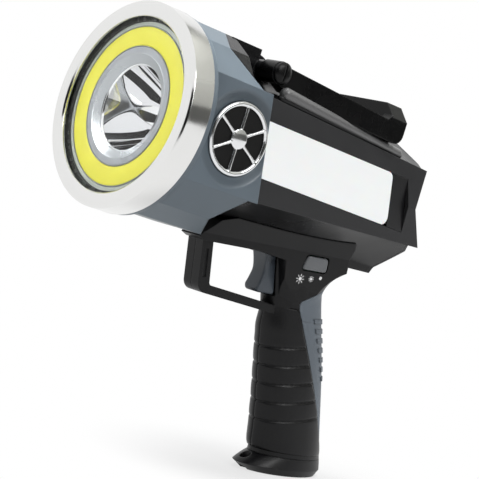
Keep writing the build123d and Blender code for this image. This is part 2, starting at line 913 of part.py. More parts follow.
def make_side_board():
    """Strip light board on the left side of the body, with two rows of lights."""
    inset = panel_rim + fit_gap
    face = -frame_t + strip_board_t
    board = side_plate(panel_outline(inset), -frame_t, face) - head_zone(fit_gap + inset)
    start = head_flat_low_back + strip_led_pitch
    count = int((panel_back - start) / strip_led_pitch)
    for i in range(count):
        for z in (-window_half / 2, window_half / 2):
            x = -start - i * strip_led_pitch
            led = [(x, z - strip_led / 2), (x, z + strip_led / 2),
                   (x - strip_led, z + strip_led / 2), (x - strip_led, z - strip_led / 2)]
            board += side_plate(led, face - strip_board_t / 2, face + strip_led_h)
    return board


def make_rear_cover():
    """Folded cover that closes the tail, with the charge socket's opening."""
    cover = body_form(0) - tail_zone(cover_t)
    port = facet_place(*upper_facet, port_share)
    hole = Box(socket_h + fit_gap * 2, socket_w + fit_gap * 2, overrun * 4)
    pocket = Box(flap_h + flap_t + fit_gap * 3, flap_w + fit_gap * 2, flap_t * 2)
    cover -= port * Pos(fit_gap / 2, 0, 0) * pocket
    cover -= port * hole
    hinge_x = flap_h / 2
    pin = Pos(hinge_x, -flap_w / 2 - flap_pin_l - fit_gap, -flap_t / 2)
    cover -= port * pin * Rot(-90, 0, 0) * rod(flap_pin_r + pin_gap, flap_w + flap_w)
    post_h = socket_depth - socket_board_t
    for sign in (1, -1):
        foot = Pos(0, sign * (socket_w / 2 + stud_r * 2), -cover_t - post_h)
        cover += port * foot * rod(stud_r, post_h + fit_gap)
    for place in cover_bolts:
        cover -= place * Pos(0, 0, -screw_l) * rod(screw_r + pin_gap, screw_l * 2)
    return cover


def make_charge_port():
    """Charge socket on its small board behind the rear cover."""
    port = facet_place(*upper_facet, port_share)
    front = -flap_t - fit_gap
    board_top = -cover_t - socket_depth + socket_board_t
    length = front - board_top
    can = Pos(0, 0, board_top + length / 2) * Box(socket_h, socket_w, length)
    mouth = Pos(0, 0, front) * Box(socket_h - socket_wall * 2, socket_w - socket_wall * 2, length)
    plate = Pos(0, 0, board_top - socket_board_t / 2) * Box(
        socket_board_h, socket_w + stud_r * 8, socket_board_t)
    return port * (can - mouth + plate)


def make_port_cover():
    """Rubber flap with a rolled hinge at its upper edge."""
    port = facet_place(*upper_facet, port_share)
    plate = Pos(0, 0, -flap_t / 2) * Box(flap_h, flap_w, flap_t)
    roll_y = Pos(flap_h / 2, -flap_w / 2, -flap_t / 2) * Rot(-90, 0, 0)
    pin_y = Pos(flap_h / 2, -flap_w / 2 - flap_pin_l, -flap_t / 2) * Rot(-90, 0, 0)
    roll = roll_y * rod(flap_t / 2, flap_w)
    pin = pin_y * rod(flap_pin_r, flap_w + flap_pin_l * 2)
    return port * (plate + roll + pin)


def make_driver_board():
    """Driver board with its chips, coil and capacitor."""
    x = -driver_back
    top = driver_z + driver_t
    board = block(x - driver_l / 2, x + driver_l / 2, -driver_w / 2, driver_w / 2, driver_z, top)
    board += Pos(x - driver_l / 4, 0, top + chip_h / 2) * Box(driver_w / 2, driver_w / 2, chip_h)
    board += rod_z(x + driver_l / 4, driver_w / 5, chip_h, top, top + chip_h * 3)
    board += Pos(x + driver_l / 4, -driver_w / 5, top + chip_h / 2) * Box(chip_h * 3, chip_h * 2, chip_h)
    return board


# Folding handle

hub_in_y = ear_out_y + washer_t + fit_gap / 2


def make_bail():
    """U handle, folded back: two arms with round hubs and a raised crossbar."""
    x = -pivot_back
    front = -bar_front_back
    outline = [
        (x, pivot_z - hub_r),
        (x - hub_r, arm_low_z),
        (-bar_rear_back, arm_low_tail_z, arm_end_r),
        (-bar_rear_back, bar_top_z),
        (front, bar_top_z),
        (front, arm_top_tail_z + hub_r / 2),
        (front + hub_r / 2, arm_top_tail_z),
        (x, arm_top_z),
    ]
    body = side_slab(outline, -arm_out_y, arm_out_y)
    legs = []
    for side in (1, -1):
        low, high = sorted((side * arm_in_y, side * arm_out_y))
        legs.append(block(front, x, low, high, 0, bar_top_z))
    bar_points = [
        (arm_in_y, 0),
        (arm_out_y, 0),
        (arm_out_y, bar_top_z - bar_corner),
        (arm_out_y - bar_corner, bar_top_z),
    ]
    mirrored = [(-y, z) for y, z in reversed(bar_points)]
    inner = [(-arm_in_y, bar_low_z), (arm_in_y, bar_low_z)]
    bar_face = cross_face(bar_points + mirrored + inner, -bar_rear_back)
    bar = extrude(bar_face, amount=bar_rear_back - bar_front_back, dir=(1, 0, 0))
    bail = body & (bar + legs)
    for side in (1, -1):
        low, high = sorted((side * hub_in_y, side * hub_out_y))
        bail += rod_y(x, pivot_z, hub_r, low, high)
    for side in (1, -1):
        low, high = sorted((side * hub_out_y, side * reach))
        bail -= rod_y(x, pivot_z, cap_r + run_gap, low, high)
    return bail - rod_y(x, pivot_z, pivot_pin_r + pin_gap, -reach, reach)


def make_pivot_cap():
    """Slotted domed cap with its shaft, at the left pivot."""
    base = hub_out_y + fit_gap / 2
    shaft = base - (ear_out_y - pin_depth) - fit_gap
    profile = Polyline((0, 0, -shaft), (pivot_pin_r, 0, -shaft), (pivot_pin_r, 0, 0),
                       (cap_r, 0, 0), (cap_r, 0, cap_t))
    mid = math.radians(45)
    crown = ThreePointArc((cap_r, 0, cap_t),
                          (cap_r * math.sin(mid), 0, cap_t + cap_dome * math.cos(mid)),
                          (0, 0, cap_t + cap_dome))
    spine = Line((0, 0, cap_t + cap_dome), (0, 0, -shaft))
    cap = revolve(make_face(profile + crown + spine), axis=Axis.Z)
    cap -= Pos(0, 0, cap_t + cap_dome) * Box(slot_w, cap_r * 3, slot_d * 2)
    return Pos(-pivot_back, base, pivot_z) * Rot(-90, 0, 0) * cap


def make_washers():
    """Friction washers between the ears and the handle's hubs."""
    rings = []
    for side in (1, -1):
        low, high = sorted((side * ear_out_y, side * (ear_out_y + washer_t)))
        ring = rod_y(-pivot_back, pivot_z, ear_r, low, high)
        rings.append(ring - rod_y(-pivot_back, pivot_z, pivot_pin_r + pin_gap, low - overrun,
                                  high + overrun))
    return Compound(rings)


# Grip, in the standing frame

cap_heights = [share * cap_h for share in cap_height_shares]
cap_fronts = [share * cap_len for share in cap_front_shares]
cap_rears = [share * cap_len for share in cap_rear_shares]
cap_halves = [share * cap_half for share in cap_half_shares]


def oval(z, front, rear, half_w):
    """A level ellipse between a front and a rear place."""
    return Pos((front + rear) / 2, 0, z) * Ellipse((front - rear) / 2, half_w)


def grip_rows():
    """Height, front, rear and half width of each level section of the grip."""
    rows = [(cap_h, cap_fronts[-1], cap_rears[-1], cap_halves[-1])]
    shares = zip(grip_height_shares, grip_front_shares, grip_rear_shares, grip_half_shares)
    for high, front, rear, wide in shares:
        rows.append((high * grip_h, front * grip_depth, rear * grip_depth, wide * grip_half))
    return rows


def grip_form(inset):
    """Outer form of the grip, drawn in by a wall."""
    return loft([oval(z, front - inset, rear + inset, half_w - inset)
                 for z, front, rear, half_w in grip_rows()])


saddle_xs = [share * saddle_len for share in saddle_x_shares]
saddle_zs = [share * saddle_z for share in saddle_z_shares]


def saddle_outline(inset):
    """Side profile of the housing, drawn in by a wall but open at its top."""
    top = saddle_z + (overrun if inset > 0 else 0)
    rows = list(zip(saddle_xs, saddle_zs))
    heel, waist, toe = [(x * saddle_len, z * saddle_z) for x, z in saddle_heel_shares]
    under = throat_z + inset
    return [
        (rows[0][0] + inset, top),
        (rows[1][0] - inset, top),
        (rows[2][0] - inset, rows[2][1]),
        (rows[3][0] - inset, rows[3][1] - inset / 2),
        (rows[4][0] - inset * 3, rows[4][1] + inset / 3),
        (guard_front_x - inset * 2, under),
        (throat_rear_x, under),
        (trigger_top_x, under - trigger_dish),
        (trigger_rear_top_x - inset, throat_z - trigger_dish * 2),
        (finger_rear_x - inset, finger_low_z),
        (finger_rear_x - inset * 2, toe[1]),
        (toe[0] + inset, toe[1]),
        (waist[0] + inset, waist[1]),
        (heel[0] + inset, heel[1]),
    ]


def saddle_points(x, inset):
    """Housing section as (y, z) points at one place along the base's length."""
    top = between(x, 0, saddle_rear_y, saddle_len, saddle_front_y) - inset
    crease = between(x, 0, saddle_crease_rear_y, saddle_len, saddle_crease_front_y) - inset
    low = between(x, 0, saddle_low_rear_y, saddle_len, saddle_low_front_y) - inset
    left = [(low, finger_low_z / 2), (low, saddle_low_z), (crease, saddle_crease_z),
            (top, saddle_z), (top, saddle_z + overrun)]
    return left + [(-y, z) for y, z in reversed(left)]


def saddle_flare(inset):
    """Rounded form that spreads from the grip up into the housing."""
    rows = (
        (saddle_low_z - groove_pitch * 2, grip_front_shares[2], grip_rear_shares[2], 1.0),
        (saddle_low_z, grip_front_shares[3], grip_rear_shares[3], flare_mid_share),
        (saddle_low_z + grip_half, flare_front_share, flare_rear_share, flare_top_share),
    )
    faces = []
    for z, front, rear, wide in rows:
        faces.append(oval(z, front * grip_depth - inset, rear * grip_depth + inset,
                          wide * grip_half - inset))
    top = saddle_low_z + grip_half
    above = block(-reach, reach, -reach, reach, top, saddle_z * 2)
    return loft(faces) + above


def saddle_form(inset):
    """Outer form of the housing, drawn in by a wall."""
    faces = []
    for x in (-grip_depth / 2, saddle_len + overrun):
        faces.append(cross_face(saddle_points(x, inset), x))
    form = loft(faces, ruled=True) & side_slab(saddle_outline(inset), -reach, reach)
    rear = saddle_xs[0] - overrun
    corners = [(rear + inset, -saddle_rear_y, saddle_corner_r),
               (rear + inset, saddle_rear_y, saddle_corner_r),
               (reach, saddle_rear_y, 0), (reach, -saddle_rear_y, 0)]
    wire = FilletPolyline(*[(x, y, 0) for x, y, _ in corners],
                          radius=[r for _, _, r in corners], close=True)
    plan = extrude(make_face(wire), amount=saddle_z * 2, dir=(0, 0, 1))
    return form & plan & saddle_flare(inset)


def guard_form():
    """Trigger guard: a front bar and a lower bar that falls towards the grip."""
    fall = math.tan(math.radians(guard_rake))
    root_x = finger_rear_x - guard_bar_x
    low_root = guard_low_z - (guard_front_low_x - root_x) * fall
    inner_x = guard_front_low_x - guard_bar_x
    inner_z = guard_low_z + guard_bar_z - guard_bar_x * fall / 2
    points = [
        (guard_front_x, throat_z + overrun / 2, 0),
        (guard_front_low_x, guard_low_z, guard_corner_r),
        (root_x, low_root, 0),
        (root_x, low_root + guard_bar_z, 0),
        (inner_x, inner_z, guard_inner_r),
        (guard_front_x - guard_bar_x, throat_z + overrun / 2, 0),
    ]
    guard = side_slab(points, -guard_y, guard_y)
    low_share = 0.15
    high_share = 0.85
    span = throat_z - guard_low_z
    lean = guard_front_x - guard_front_low_x
    third = guard_bar_x / 3
    mouth = []
    for share, off in ((high_share, third), (high_share, third * 2),
                       (low_share + low_share, third * 2), (low_share + low_share, third)):
        mouth.append((guard_front_low_x + lean * share - off, guard_low_z + span * share))
    for side in (1, -1):
        low, high = sorted((side * (guard_y - groove_d), side * reach))
        guard -= side_slab(mouth, low, high)
    return guard


def strap_zone(grow):
    """Side region of the rubber backstrap, grown by a clearance."""
    return side_slab([
        (strap_top_x, strap_top_z + grow, 0),
        (strap_nose_x + grow * 2, strap_nose_z + grow, strap_nose_r),
        (strap_nose_x - strap_nose_r / 2 + grow, strap_under_z - grow, 0),
        (strap_foot_x + grow, strap_foot_z - grow, 0),
        (-grip_depth, strap_foot_z - grow, 0),
        (-grip_depth, strap_top_z + grow, 0),
    ], -reach, reach)


def grip_bands(top, pitch, width, count):
    """Level slabs stacked downwards, each width high."""
    bands = []
    for i in range(count):
        z = top - i * pitch
        bands.append(block(-grip_depth, grip_depth, -reach, reach, z - width / 2, z + width / 2))
    return bands


def belly_cut():
    """Room for the body's belly above the housing."""
    belly = trunk(-fit_gap, head_upper_back, tail_back) + tub_form(-fit_gap)
    return aim(belly)


def trigger_points(grow):
    """Side profile of the trigger, grown by a clearance."""
    top = trigger_pin_z + trigger_hub_r / 3 + grow
    return [
        (trigger_rear_top_x + trigger_hub_r / 3 - grow, top),
        (trigger_top_x - trigger_hub_r / 2 + grow, top),
        (trigger_top_x + grow, trigger_top_z),
        (trigger_face_x - trigger_dish + grow, (trigger_top_z + trigger_low_z) / 2),
        (trigger_tip_x + trigger_hub_r / 2 + grow, trigger_low_z + trigger_hub_r),
        (trigger_tip_x + grow, trigger_low_z - grow),
        (trigger_rear_x - grow, trigger_low_z - grow),
        (trigger_rear_top_x - grow, trigger_top_z - trigger_dish),
    ]


trigger_axis = Axis((trigger_pin_x, 0, trigger_pin_z), (0, 1, 0))


def trigger_slot():
    """Room for the trigger through its whole travel."""
    wide = trigger_y + trigger_slot_gap
    slot = side_slab(trigger_points(trigger_slot_gap), -wide, wide)
    cut = slot + rod_y(trigger_pin_x, trigger_pin_z, trigger_hub_r + run_gap, -wide, wide)
    steps = 3
    for i in range(steps):
        cut += slot.rotate(trigger_axis, (trigger_swing + 1) * (i + 1) / steps)
    return cut


def button_outline(grow):
    """Rounded side outline of the mode button, grown by a clearance."""
    long_half = button_l / 2 + grow
    high = button_h / 2 + grow
    r = button_corner_r + grow
    return [
        (button_x - long_half + button_taper, button_z + high, r),
        (button_x + long_half - button_taper, button_z + high, r),
        (button_x + long_half, button_z - high, r),
        (button_x - long_half, button_z - high, r),
    ]


grip_bolts = (
    (saddle_xs[1] - boss_r, saddle_crease_z + grip_wall),
    (saddle_xs[0] + boss_r * 1.4, saddle_low_z + boss_r),
    (strap_foot_x + boss_r * 3.2, cap_h + boss_r),
    (finger_rear_x - boss_r * 1.6, saddle_low_z - boss_r * 3),
)
base_bolts = ((cap_fronts[-1] - boss_r * 1.6, boss_r), (cap_rears[-1] + boss_r * 2, -boss_r))
cell_drop = (cell_r * 2 + boss_r * 1.3) * math.sin(math.radians(cell_rake))
base_bolt_top = cell_foot_z - cell_drop - carrier_t - fit_gap * 2
board_face_y = button_root_y - button_travel - pin_gap - tact_h
mode_post_z = button_z - mode_board_drop - mode_board_h / 2 + stud_r
mode_posts = (button_x - button_l / 3, button_x + button_l / 3)


def make_grip_core():
    """Both grip shells in one piece, before they part on the middle plane."""
    deep = grip_wall + skin_t
    envelope = grip_form(0) + saddle_form(0)
    strap_room = strap_zone(fit_gap)
    strap_room -= grip_form(skin_t + fit_gap) + saddle_form(skin_t + fit_gap)
    core = (envelope - strap_room) + guard_form()
    hollow = grip_form(deep)
    above = block(-reach, reach, -reach, reach, strap_top_z + grip_wall, reach * 2)
    hollow += saddle_form(grip_wall) & above
    core -= hollow
    inside = grip_form(skin_t + fit_gap) + saddle_form(grip_wall / 2)
    bosses = bolt_bosses(grip_bolts, inside)
    for x, y in base_bolts:
        bosses.append(rod_z(x, y, boss_r, cap_h, base_bolt_top) & inside)
    for x in mode_posts:
        bosses.append(rod_y(x, mode_post_z, stud_r, board_face_y, saddle_rear_y) & inside)
    pin_boss = rod_y(trigger_pin_x, trigger_pin_z, trigger_hub_r, -reach, reach)
    bosses.append(pin_boss & inside)
    rib = [(switch_front_x - switch_l, switch_z - boss_r / 2), (switch_front_x - switch_l / 2,
           switch_z - boss_r / 2), (switch_front_x - switch_l / 2, switch_z + boss_r / 2),
           (switch_front_x - switch_l, switch_z + boss_r / 2)]
    wide = switch_half_w + fit_gap / 2
    bosses.append(side_slab(rib, -reach, -wide) & inside)
    core += bosses
    core -= strap_room
    core -= trigger_slot()
    core -= rod_y(trigger_pin_x, trigger_pin_z, trigger_pin_r, -trigger_pin_half, trigger_pin_half)
    core -= bolt_holes(grip_bolts)
    for x, y in base_bolts:
        core -= rod_z(x, y, screw_r + pin_gap, 0, base_bolt_top - screw_r)
    groove_cut = Part() + grip_bands(groove_top_z, groove_pitch, groove_w, grooves)
    core -= groove_cut - strap_zone(fit_gap + groove_w) - grip_form(groove_d)
    core -= side_slab(button_outline(run_gap), 0, reach)
    core -= [Pos(scoop_x, side * (grip_half + scoop_r - scoop_bite), scoop_z) * Sphere(scoop_r)
             for side in (1, -1)]
    core -= belly_cut()
    return core - block(-reach, reach, -reach, reach, 0, cap_h + seam_gap)


def make_backstrap():
    """Rubber backstrap with ribs where the heel of the hand rests."""
    outer = grip_form(0) + saddle_form(0)
    inner = grip_form(skin_t) + saddle_form(skin_t)
    strap = (outer & strap_zone(0)) - inner
    bands = Part() + grip_bands(rib_top_z, rib_pitch, rib_w, ribs)
    rib_zone = Pos(-rib_w * 4, 0, 0) * strap_zone(0)
    strap += (grip_form(-rib_h) & bands & rib_zone) - grip_form(skin_t / 2)
    return strap - belly_cut()


def make_trigger():
    """Trigger blade, dished in front, on a narrow hub."""
    blade = side_slab(trigger_points(0), -trigger_y, trigger_y)
    hub = rod_y(trigger_pin_x, trigger_pin_z, trigger_hub_r, -trigger_hub_y, trigger_hub_y)
    high = trigger_top_z + pin_gap
    side_room = block(-reach, reach, trigger_hub_y, reach, high, reach * 2)
    blade -= [side_room, other_side(side_room)]
    trigger = blade + hub
    return trigger - rod_y(trigger_pin_x, trigger_pin_z, trigger_pin_r + pin_gap, -reach, reach)


def make_trigger_pin():
    """Pin that carries the trigger, held in both grip shells."""
    return rod_y(trigger_pin_x, trigger_pin_z, trigger_pin_r, -trigger_pin_half, trigger_pin_half)


def make_trigger_spring():
    """Torsion spring's coil round the trigger pin."""
    length = spring_pitch * spring_turns
    coil = Helix(spring_pitch, length, spring_r)
    wire = Plane(origin=coil @ 0, z_dir=coil % 0) * Circle(spring_wire_r)
    start = trigger_hub_y + spring_wire_r + fit_gap
    return Pos(trigger_pin_x, start, trigger_pin_z) * Rot(-90, 0, 0) * sweep(wire, path=coil)


def make_trigger_switch():
    """Snap switch behind the trigger, with its plunger."""
    box = block(switch_front_x - switch_l, switch_front_x, -switch_half_w, switch_half_w,
                switch_z - switch_h / 2, switch_z + switch_h / 2)
    plunger = Pos(switch_front_x, 0, switch_z) * Rot(0, 90, 0) * rod(spring_r / 2, plunger_l)
    return box + plunger


def make_mode_button():
    """Mode button that follows the housing's side, with a flange inside."""
    stem = side_slab(button_outline(0), button_root_y, reach) & saddle_form(-button_proud)
    flange = side_slab(button_outline(button_flange), button_root_y,
                       button_root_y + button_flange_t)
    return stem + flange


def make_mode_board():
    """Small board with the push switch behind the mode button."""
    middle = button_z - mode_board_drop
    board = block(button_x - mode_board_l / 2, button_x + mode_board_l / 2,
                  board_face_y - mode_board_t, board_face_y,
                  middle - mode_board_h / 2, middle + mode_board_h / 2)
    half_w = tact_w / 2
    body_y = board_face_y + tact_h * 0.6
    board += block(button_x - half_w, button_x + half_w, board_face_y, body_y,
                   button_z - half_w, button_z + half_w)
    return board + rod_y(button_x, button_z, tact_stem_r, board_face_y, board_face_y + tact_h)


def cell_place(offset):
    """Place of a cell's foot, offset fore and aft across the grip's lean."""
    rows = grip_rows()
    low, high = rows[1], rows[2]
    lean = math.radians(cell_rake)
    mid = between(cell_foot_z, low[0], (low[1] + low[2]) / 2, high[0], (high[1] + high[2]) / 2)
    return Pos(mid, 0, cell_foot_z) * Rot(0, math.degrees(lean), 0) * Pos(offset, 0, 0)


cell_offset = cell_r + cell_gap / 2


def make_cells():
    """Two battery cells side by side along the grip."""
    return Compound([cell_place(offset) * rod(cell_r, cell_l)
                     for offset in (-cell_offset, cell_offset)])


def make_carrier():
    """Carrier for the cells: two end plates and two side straps."""
    room = grip_form(grip_wall + skin_t + fit_gap)
    low = cell_place(0) * Pos(0, 0, -carrier_t / 2) * Box(reach, reach, carrier_t)
    high = cell_place(0) * Pos(0, 0, cell_l + carrier_t / 2) * Box(reach, reach, carrier_t)
    carrier = (low + high) & room
    for side in (1, -1):
        strap = Pos(0, side * (cell_r - carrier_t / 2), cell_l / 2)
        carrier += cell_place(0) * strap * Box(carrier_strap, carrier_t, cell_l + carrier_t)
    return carrier


def cap_form(inset):
    """Outer form of the base cap, drawn in by a wall."""
    rows = list(zip(cap_heights, cap_fronts, cap_rears, cap_halves))
    faces = [oval(z, front - inset, rear + inset, half_w - inset)
             for z, front, rear, half_w in rows]
    return loft(faces[:2], ruled=True) + loft(faces[1:])


def make_base_cap():
    """Flared base cap with a lanyard hole through its toe."""
    cap = cap_form(0)
    inner = cap_form(cap_wall) & block(-reach, toe_x, -reach, reach, cap_floor, cap_h * 2)
    cap -= inner
    for x, y in base_bolts:
        cap += rod_z(x, y, boss_r, cap_floor / 2, cap_h) & cap_form(cap_wall / 2)
    for x, y in base_bolts:
        cap -= rod_z(x, y, screw_r + pin_gap, -overrun, cap_h + overrun)
        cap -= rod_z(x, y, screw_head_r + fit_gap, -overrun, screw_head_t + fit_gap)
    cap -= rod_z(lanyard_x, 0, lanyard_r, -overrun, cap_h + overrun)
    cap -= [Pos(scoop_x, side * (grip_half + scoop_r - scoop_bite), scoop_z) * Sphere(scoop_r)
            for side in (1, -1)]
    return cap


def make_base_screws():
    """Two screws from the sole up into the grip."""
    seat = screw_head_t + fit_gap
    return Compound([Pos(x, y, seat) * Rot(180, 0, 0) * screw() for x, y in base_bolts])


def save(name, shape):
    """Write one node."""
    export_step(shape, "parts/" + name + ".step")


def save_pair(name, shape):
    """Write the left piece and its mirror image on the right."""
    save(name + "_left", shape)
    save(name + "_right", other_side(shape))


def main():
    """Build and write every node."""
    os.makedirs("parts", exist_ok=True)
    save("bezel_ring", aim(make_bezel()))
    save("front_lens", aim(make_lens()))
    save("lens_gasket", aim(make_gasket()))
    save("flood_board", aim(make_flood_board()))
    save("flood_ring", aim(make_flood_ring()))
    save("reflector", aim(make_reflector()))
    save("spot_light", aim(make_spot_light()))
    save("heat_sink", aim(make_heat_sink()))
    save("head_shell", aim(make_head_shell()))
    save("head_screws", aim(make_head_screws()))
    save_pair("side_grille", aim(make_grille()))
    save_pair("grille_backing", aim(make_grille_backing()))
    core = make_body_core()
    save("body_shell_left", aim(half(core, 1)))
    save("body_shell_right", aim(half(core, -1)))
    save_pair("side_frame", aim(make_side_frame()))
    save_pair("side_diffuser", aim(make_side_diffuser()))
    save_pair("side_light_board", aim(make_side_board()))
    save("rear_cover", aim(make_rear_cover()))
    save("rear_screws", aim(Compound([place * screw() for place in cover_bolts])))
    save("charge_port", aim(make_charge_port()))
    save("port_cover", aim(make_port_cover()))
    save("driver_board", aim(make_driver_board()))
    save("body_screws", aim(Compound(bolt_screws(place_x(body_bolts)))))
    save("bail_handle", aim(make_bail()))
    save_pair("pivot_cap", aim(make_pivot_cap()))
    save("pivot_washers", aim(make_washers()))
    grip = make_grip_core()
    save("grip_shell_left", half(grip, 1))
    save("grip_shell_right", half(grip, -1))
    save("backstrap", make_backstrap())
    save("trigger", make_trigger())
    save("trigger_pin", make_trigger_pin())
    save("trigger_spring", make_trigger_spring())
    save("trigger_switch", make_trigger_switch())
    save("mode_button", make_mode_button())
    save("mode_board", make_mode_board())
    save("battery_cells", make_cells())
    save("battery_carrier", make_carrier())
    save("base_cap", make_base_cap())
    save("base_screws", make_base_screws())
    save("grip_screws", Compound(bolt_screws(grip_bolts)))


main()
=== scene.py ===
"""Looks of a handheld searchlight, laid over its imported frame."""
import logging
import math
from dataclasses import dataclass, replace
from enum import Enum
from functools import cache

import bmesh
import bpy
import numpy as np
from mathutils import Matrix, Vector
from mathutils.bvhtree import BVHTree


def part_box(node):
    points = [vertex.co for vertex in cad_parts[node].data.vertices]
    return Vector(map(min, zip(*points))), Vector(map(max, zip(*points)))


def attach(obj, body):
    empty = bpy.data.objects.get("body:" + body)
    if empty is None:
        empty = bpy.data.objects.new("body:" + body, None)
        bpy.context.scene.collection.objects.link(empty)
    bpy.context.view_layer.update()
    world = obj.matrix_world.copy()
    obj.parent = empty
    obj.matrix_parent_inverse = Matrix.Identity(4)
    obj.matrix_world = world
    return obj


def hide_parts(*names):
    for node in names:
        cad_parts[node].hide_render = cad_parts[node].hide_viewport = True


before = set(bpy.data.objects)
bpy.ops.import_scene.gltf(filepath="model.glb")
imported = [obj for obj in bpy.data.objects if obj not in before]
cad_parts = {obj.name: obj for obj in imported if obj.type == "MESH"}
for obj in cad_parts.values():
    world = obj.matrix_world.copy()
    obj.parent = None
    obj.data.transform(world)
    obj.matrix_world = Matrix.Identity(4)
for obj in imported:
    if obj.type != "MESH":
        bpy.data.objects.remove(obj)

log = logging.getLogger("searchlight")
Point = tuple[float, float, float]
Pair = tuple[float, float]
Thing = bpy.types.Object
Material = bpy.types.Material
Tree = bpy.types.NodeTree
Node = bpy.types.Node
Socket = bpy.types.NodeSocket

SIDES = (("left", 1.0), ("right", -1.0))
CLEAR_OF_SIDE = 0.08


class Body(Enum):
    """Rigid bodies that new pieces ride on."""

    LAMP = "lamp"
    TRIGGER = "trigger"
    MODE_BUTTON = "mode_button"


class Cut(Enum):
    """Ways a metal surface was worked, by the strength of their relief."""

    TURNED = 0.18
    CAST = 0.3
    COATED = 0.0


# Frames, grids and meshes


@dataclass(frozen=True)
class BeamFrame:
    """The beam's own frame: x forward from the bezel's face, y across, z up."""

    pitch: float = math.radians(6.0)
    back: float = 0.216
    drop: float = 0.196

    def place(self, points: np.ndarray) -> np.ndarray:
        """Carry beam points into the standing frame, by a shift and a turn about y.

        Args:
            points: array of points, last axis x, y and z.
        Returns:
            The same points in the standing frame.
        """
        x = points[..., 0] + self.back
        z = points[..., 2] + self.drop
        cos, sin = math.cos(self.pitch), math.sin(self.pitch)
        return np.stack([x * cos - z * sin, points[..., 1], x * sin + z * cos], axis=-1)

    def centre(self) -> Vector:
        """Middle of the bezel's face."""
        return Vector(self.place(np.zeros(3)))

    def rear_of(self, node: str) -> float:
        """Depth of a node's rear behind the bezel's face, along the beam."""
        points = np.array([v.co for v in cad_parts[node].data.vertices])
        along = np.array([math.cos(self.pitch), 0.0, math.sin(self.pitch)])
        return float(-((points - np.array(self.centre())) @ along).min())


BEAM = BeamFrame()


@dataclass(frozen=True)
class Shell:
    """One grid of points, open or joined round in either direction."""

    points: np.ndarray
    loop_u: bool = False
    loop_v: bool = False

    def quads(self, start: int) -> np.ndarray:
        """Faces of the grid: vertex (i, j) joins (i + 1, j) and (i, j + 1).

        Args:
            start: number of the grid's first vertex.
        Returns:
            Array of four vertex numbers a face.
        """
        rows, cols = self.points.shape[:2]
        i = np.arange(rows if self.loop_u else rows - 1)[:, None]
        j = np.arange(cols if self.loop_v else cols - 1)[None, :]
        below, right = (i + 1) % rows, (j + 1) % cols
        quads = np.stack(np.broadcast_arrays(i * cols + j, below * cols + j,
                                             below * cols + right, i * cols + right), axis=-1)
        return quads.reshape(-1, 4) + start

    def flipped(self, side: float) -> "Shell":
        """The same grid with y turned over if side is -1."""
        return replace(self, points=self.points * np.array([1.0, side, 1.0]))


def around(steps: int) -> np.ndarray:
    """Angles of even steps round a full turn."""
    return np.linspace(0, 2 * math.pi, steps, endpoint=False)


def quarter(steps: int) -> np.ndarray:
    """Angles from 0 to a right angle."""
    return np.linspace(0, math.pi / 2, steps)


def quad_mesh(name: str, points: np.ndarray, quads: np.ndarray,
              smooth: bool = True) -> Thing:
    """Make a mesh of four-cornered faces.

    Args:
        name: the object's name.
        points: its vertices, in the standing frame.
        quads: vertex numbers of each face.
        smooth: whether its faces are shaded smooth.
    Returns:
        The linked object, at the origin.
    """
    mesh = bpy.data.meshes.new(name)
    mesh.from_pydata(points.tolist(), [], quads.tolist())
    mesh.polygons.foreach_set("use_smooth", [smooth] * len(quads))
    mesh.validate()
    piece = bpy.data.objects.new(name, mesh)
    bpy.context.scene.collection.objects.link(piece)
    return piece


def shell_mesh(name: str, *shells: Shell) -> Thing:
    """Make one smooth mesh of grids."""
    points = np.concatenate([shell.points.reshape(-1, 3) for shell in shells])
    starts = np.cumsum([0] + [shell.points.size // 3 for shell in shells])
    quads = np.concatenate([shell.quads(start) for shell, start in zip(shells, starts)])
    return quad_mesh(name, points, quads)


def rounded(corners: list[Point], steps: int = 5) -> np.ndarray:
    """Round the corners of a closed outline with arcs.

    Each arc is the quadratic curve that leaves one side and meets the next at the same
    distance from their corner: (1-t)^2 a + 2t(1-t) c + t^2 b.

    Args:
        corners: (u, v, distance) of each corner in order.
        steps: points on each arc.
    Returns:
        Array of (u, v) points.
    """
    table = np.array(corners)
    c = table[:, None, :2]
    before = np.roll(table, 1, axis=0)[:, None, :2]
    after = np.roll(table, -1, axis=0)[:, None, :2]
    reach = table[:, None, 2:]
    a = c + (before - c) / np.linalg.norm(before - c, axis=-1, keepdims=True) * reach
    b = c + (after - c) / np.linalg.norm(after - c, axis=-1, keepdims=True) * reach
    t = np.linspace(0, 1, steps)[None, :, None]
    return ((1 - t) ** 2 * a + 2 * t * (1 - t) * c + t ** 2 * b).reshape(-1, 2)


def turned(profile: np.ndarray, sides: int = 144) -> Shell:
    """Carry a closed profile round the beam: (back, r) goes to (-back, r cos a, r sin a).

    Args:
        profile: (back, radius) points of a closed outline.
        sides: steps round the axis.
    Returns:
        The closed ring or disc.
    """
    angle = around(sides)[:, None]
    back, radius = profile[None, :, 0], profile[None, :, 1]
    points = np.stack([-back + angle * 0, radius * np.cos(angle), radius * np.sin(angle)], -1)
    return Shell(BEAM.place(points), True, True)


@cache
def tree_of(node: str) -> BVHTree:
    """Search tree of a node's faces."""
    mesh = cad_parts[node].data
    return BVHTree.FromPolygons([v.co for v in mesh.vertices],
                                [p.vertices for p in mesh.polygons])


def side_plane(node: str, at: Pair, reach: Pair) -> np.ndarray:
    """Fit the plane y = a + b x + c z to a node's left side, by three rays.

    Args:
        node: a node of the frame.
        at: (x, z) that the rays lie round.
        reach: how far they lie from it, in x and z.
    Returns:
        a, b and c.
    """
    spots = np.array(at) + np.array([(-1, -1), (1, -1), (0, 1)]) * np.array(reach)
    hits = [tree_of(node).ray_cast(Vector((x, CLEAR_OF_SIDE, z)), Vector((0, -1, 0)))[0].y
            for x, z in spots]
    return np.linalg.solve(np.concatenate([np.ones((3, 1)), spots], axis=1), np.array(hits))


# Node groups


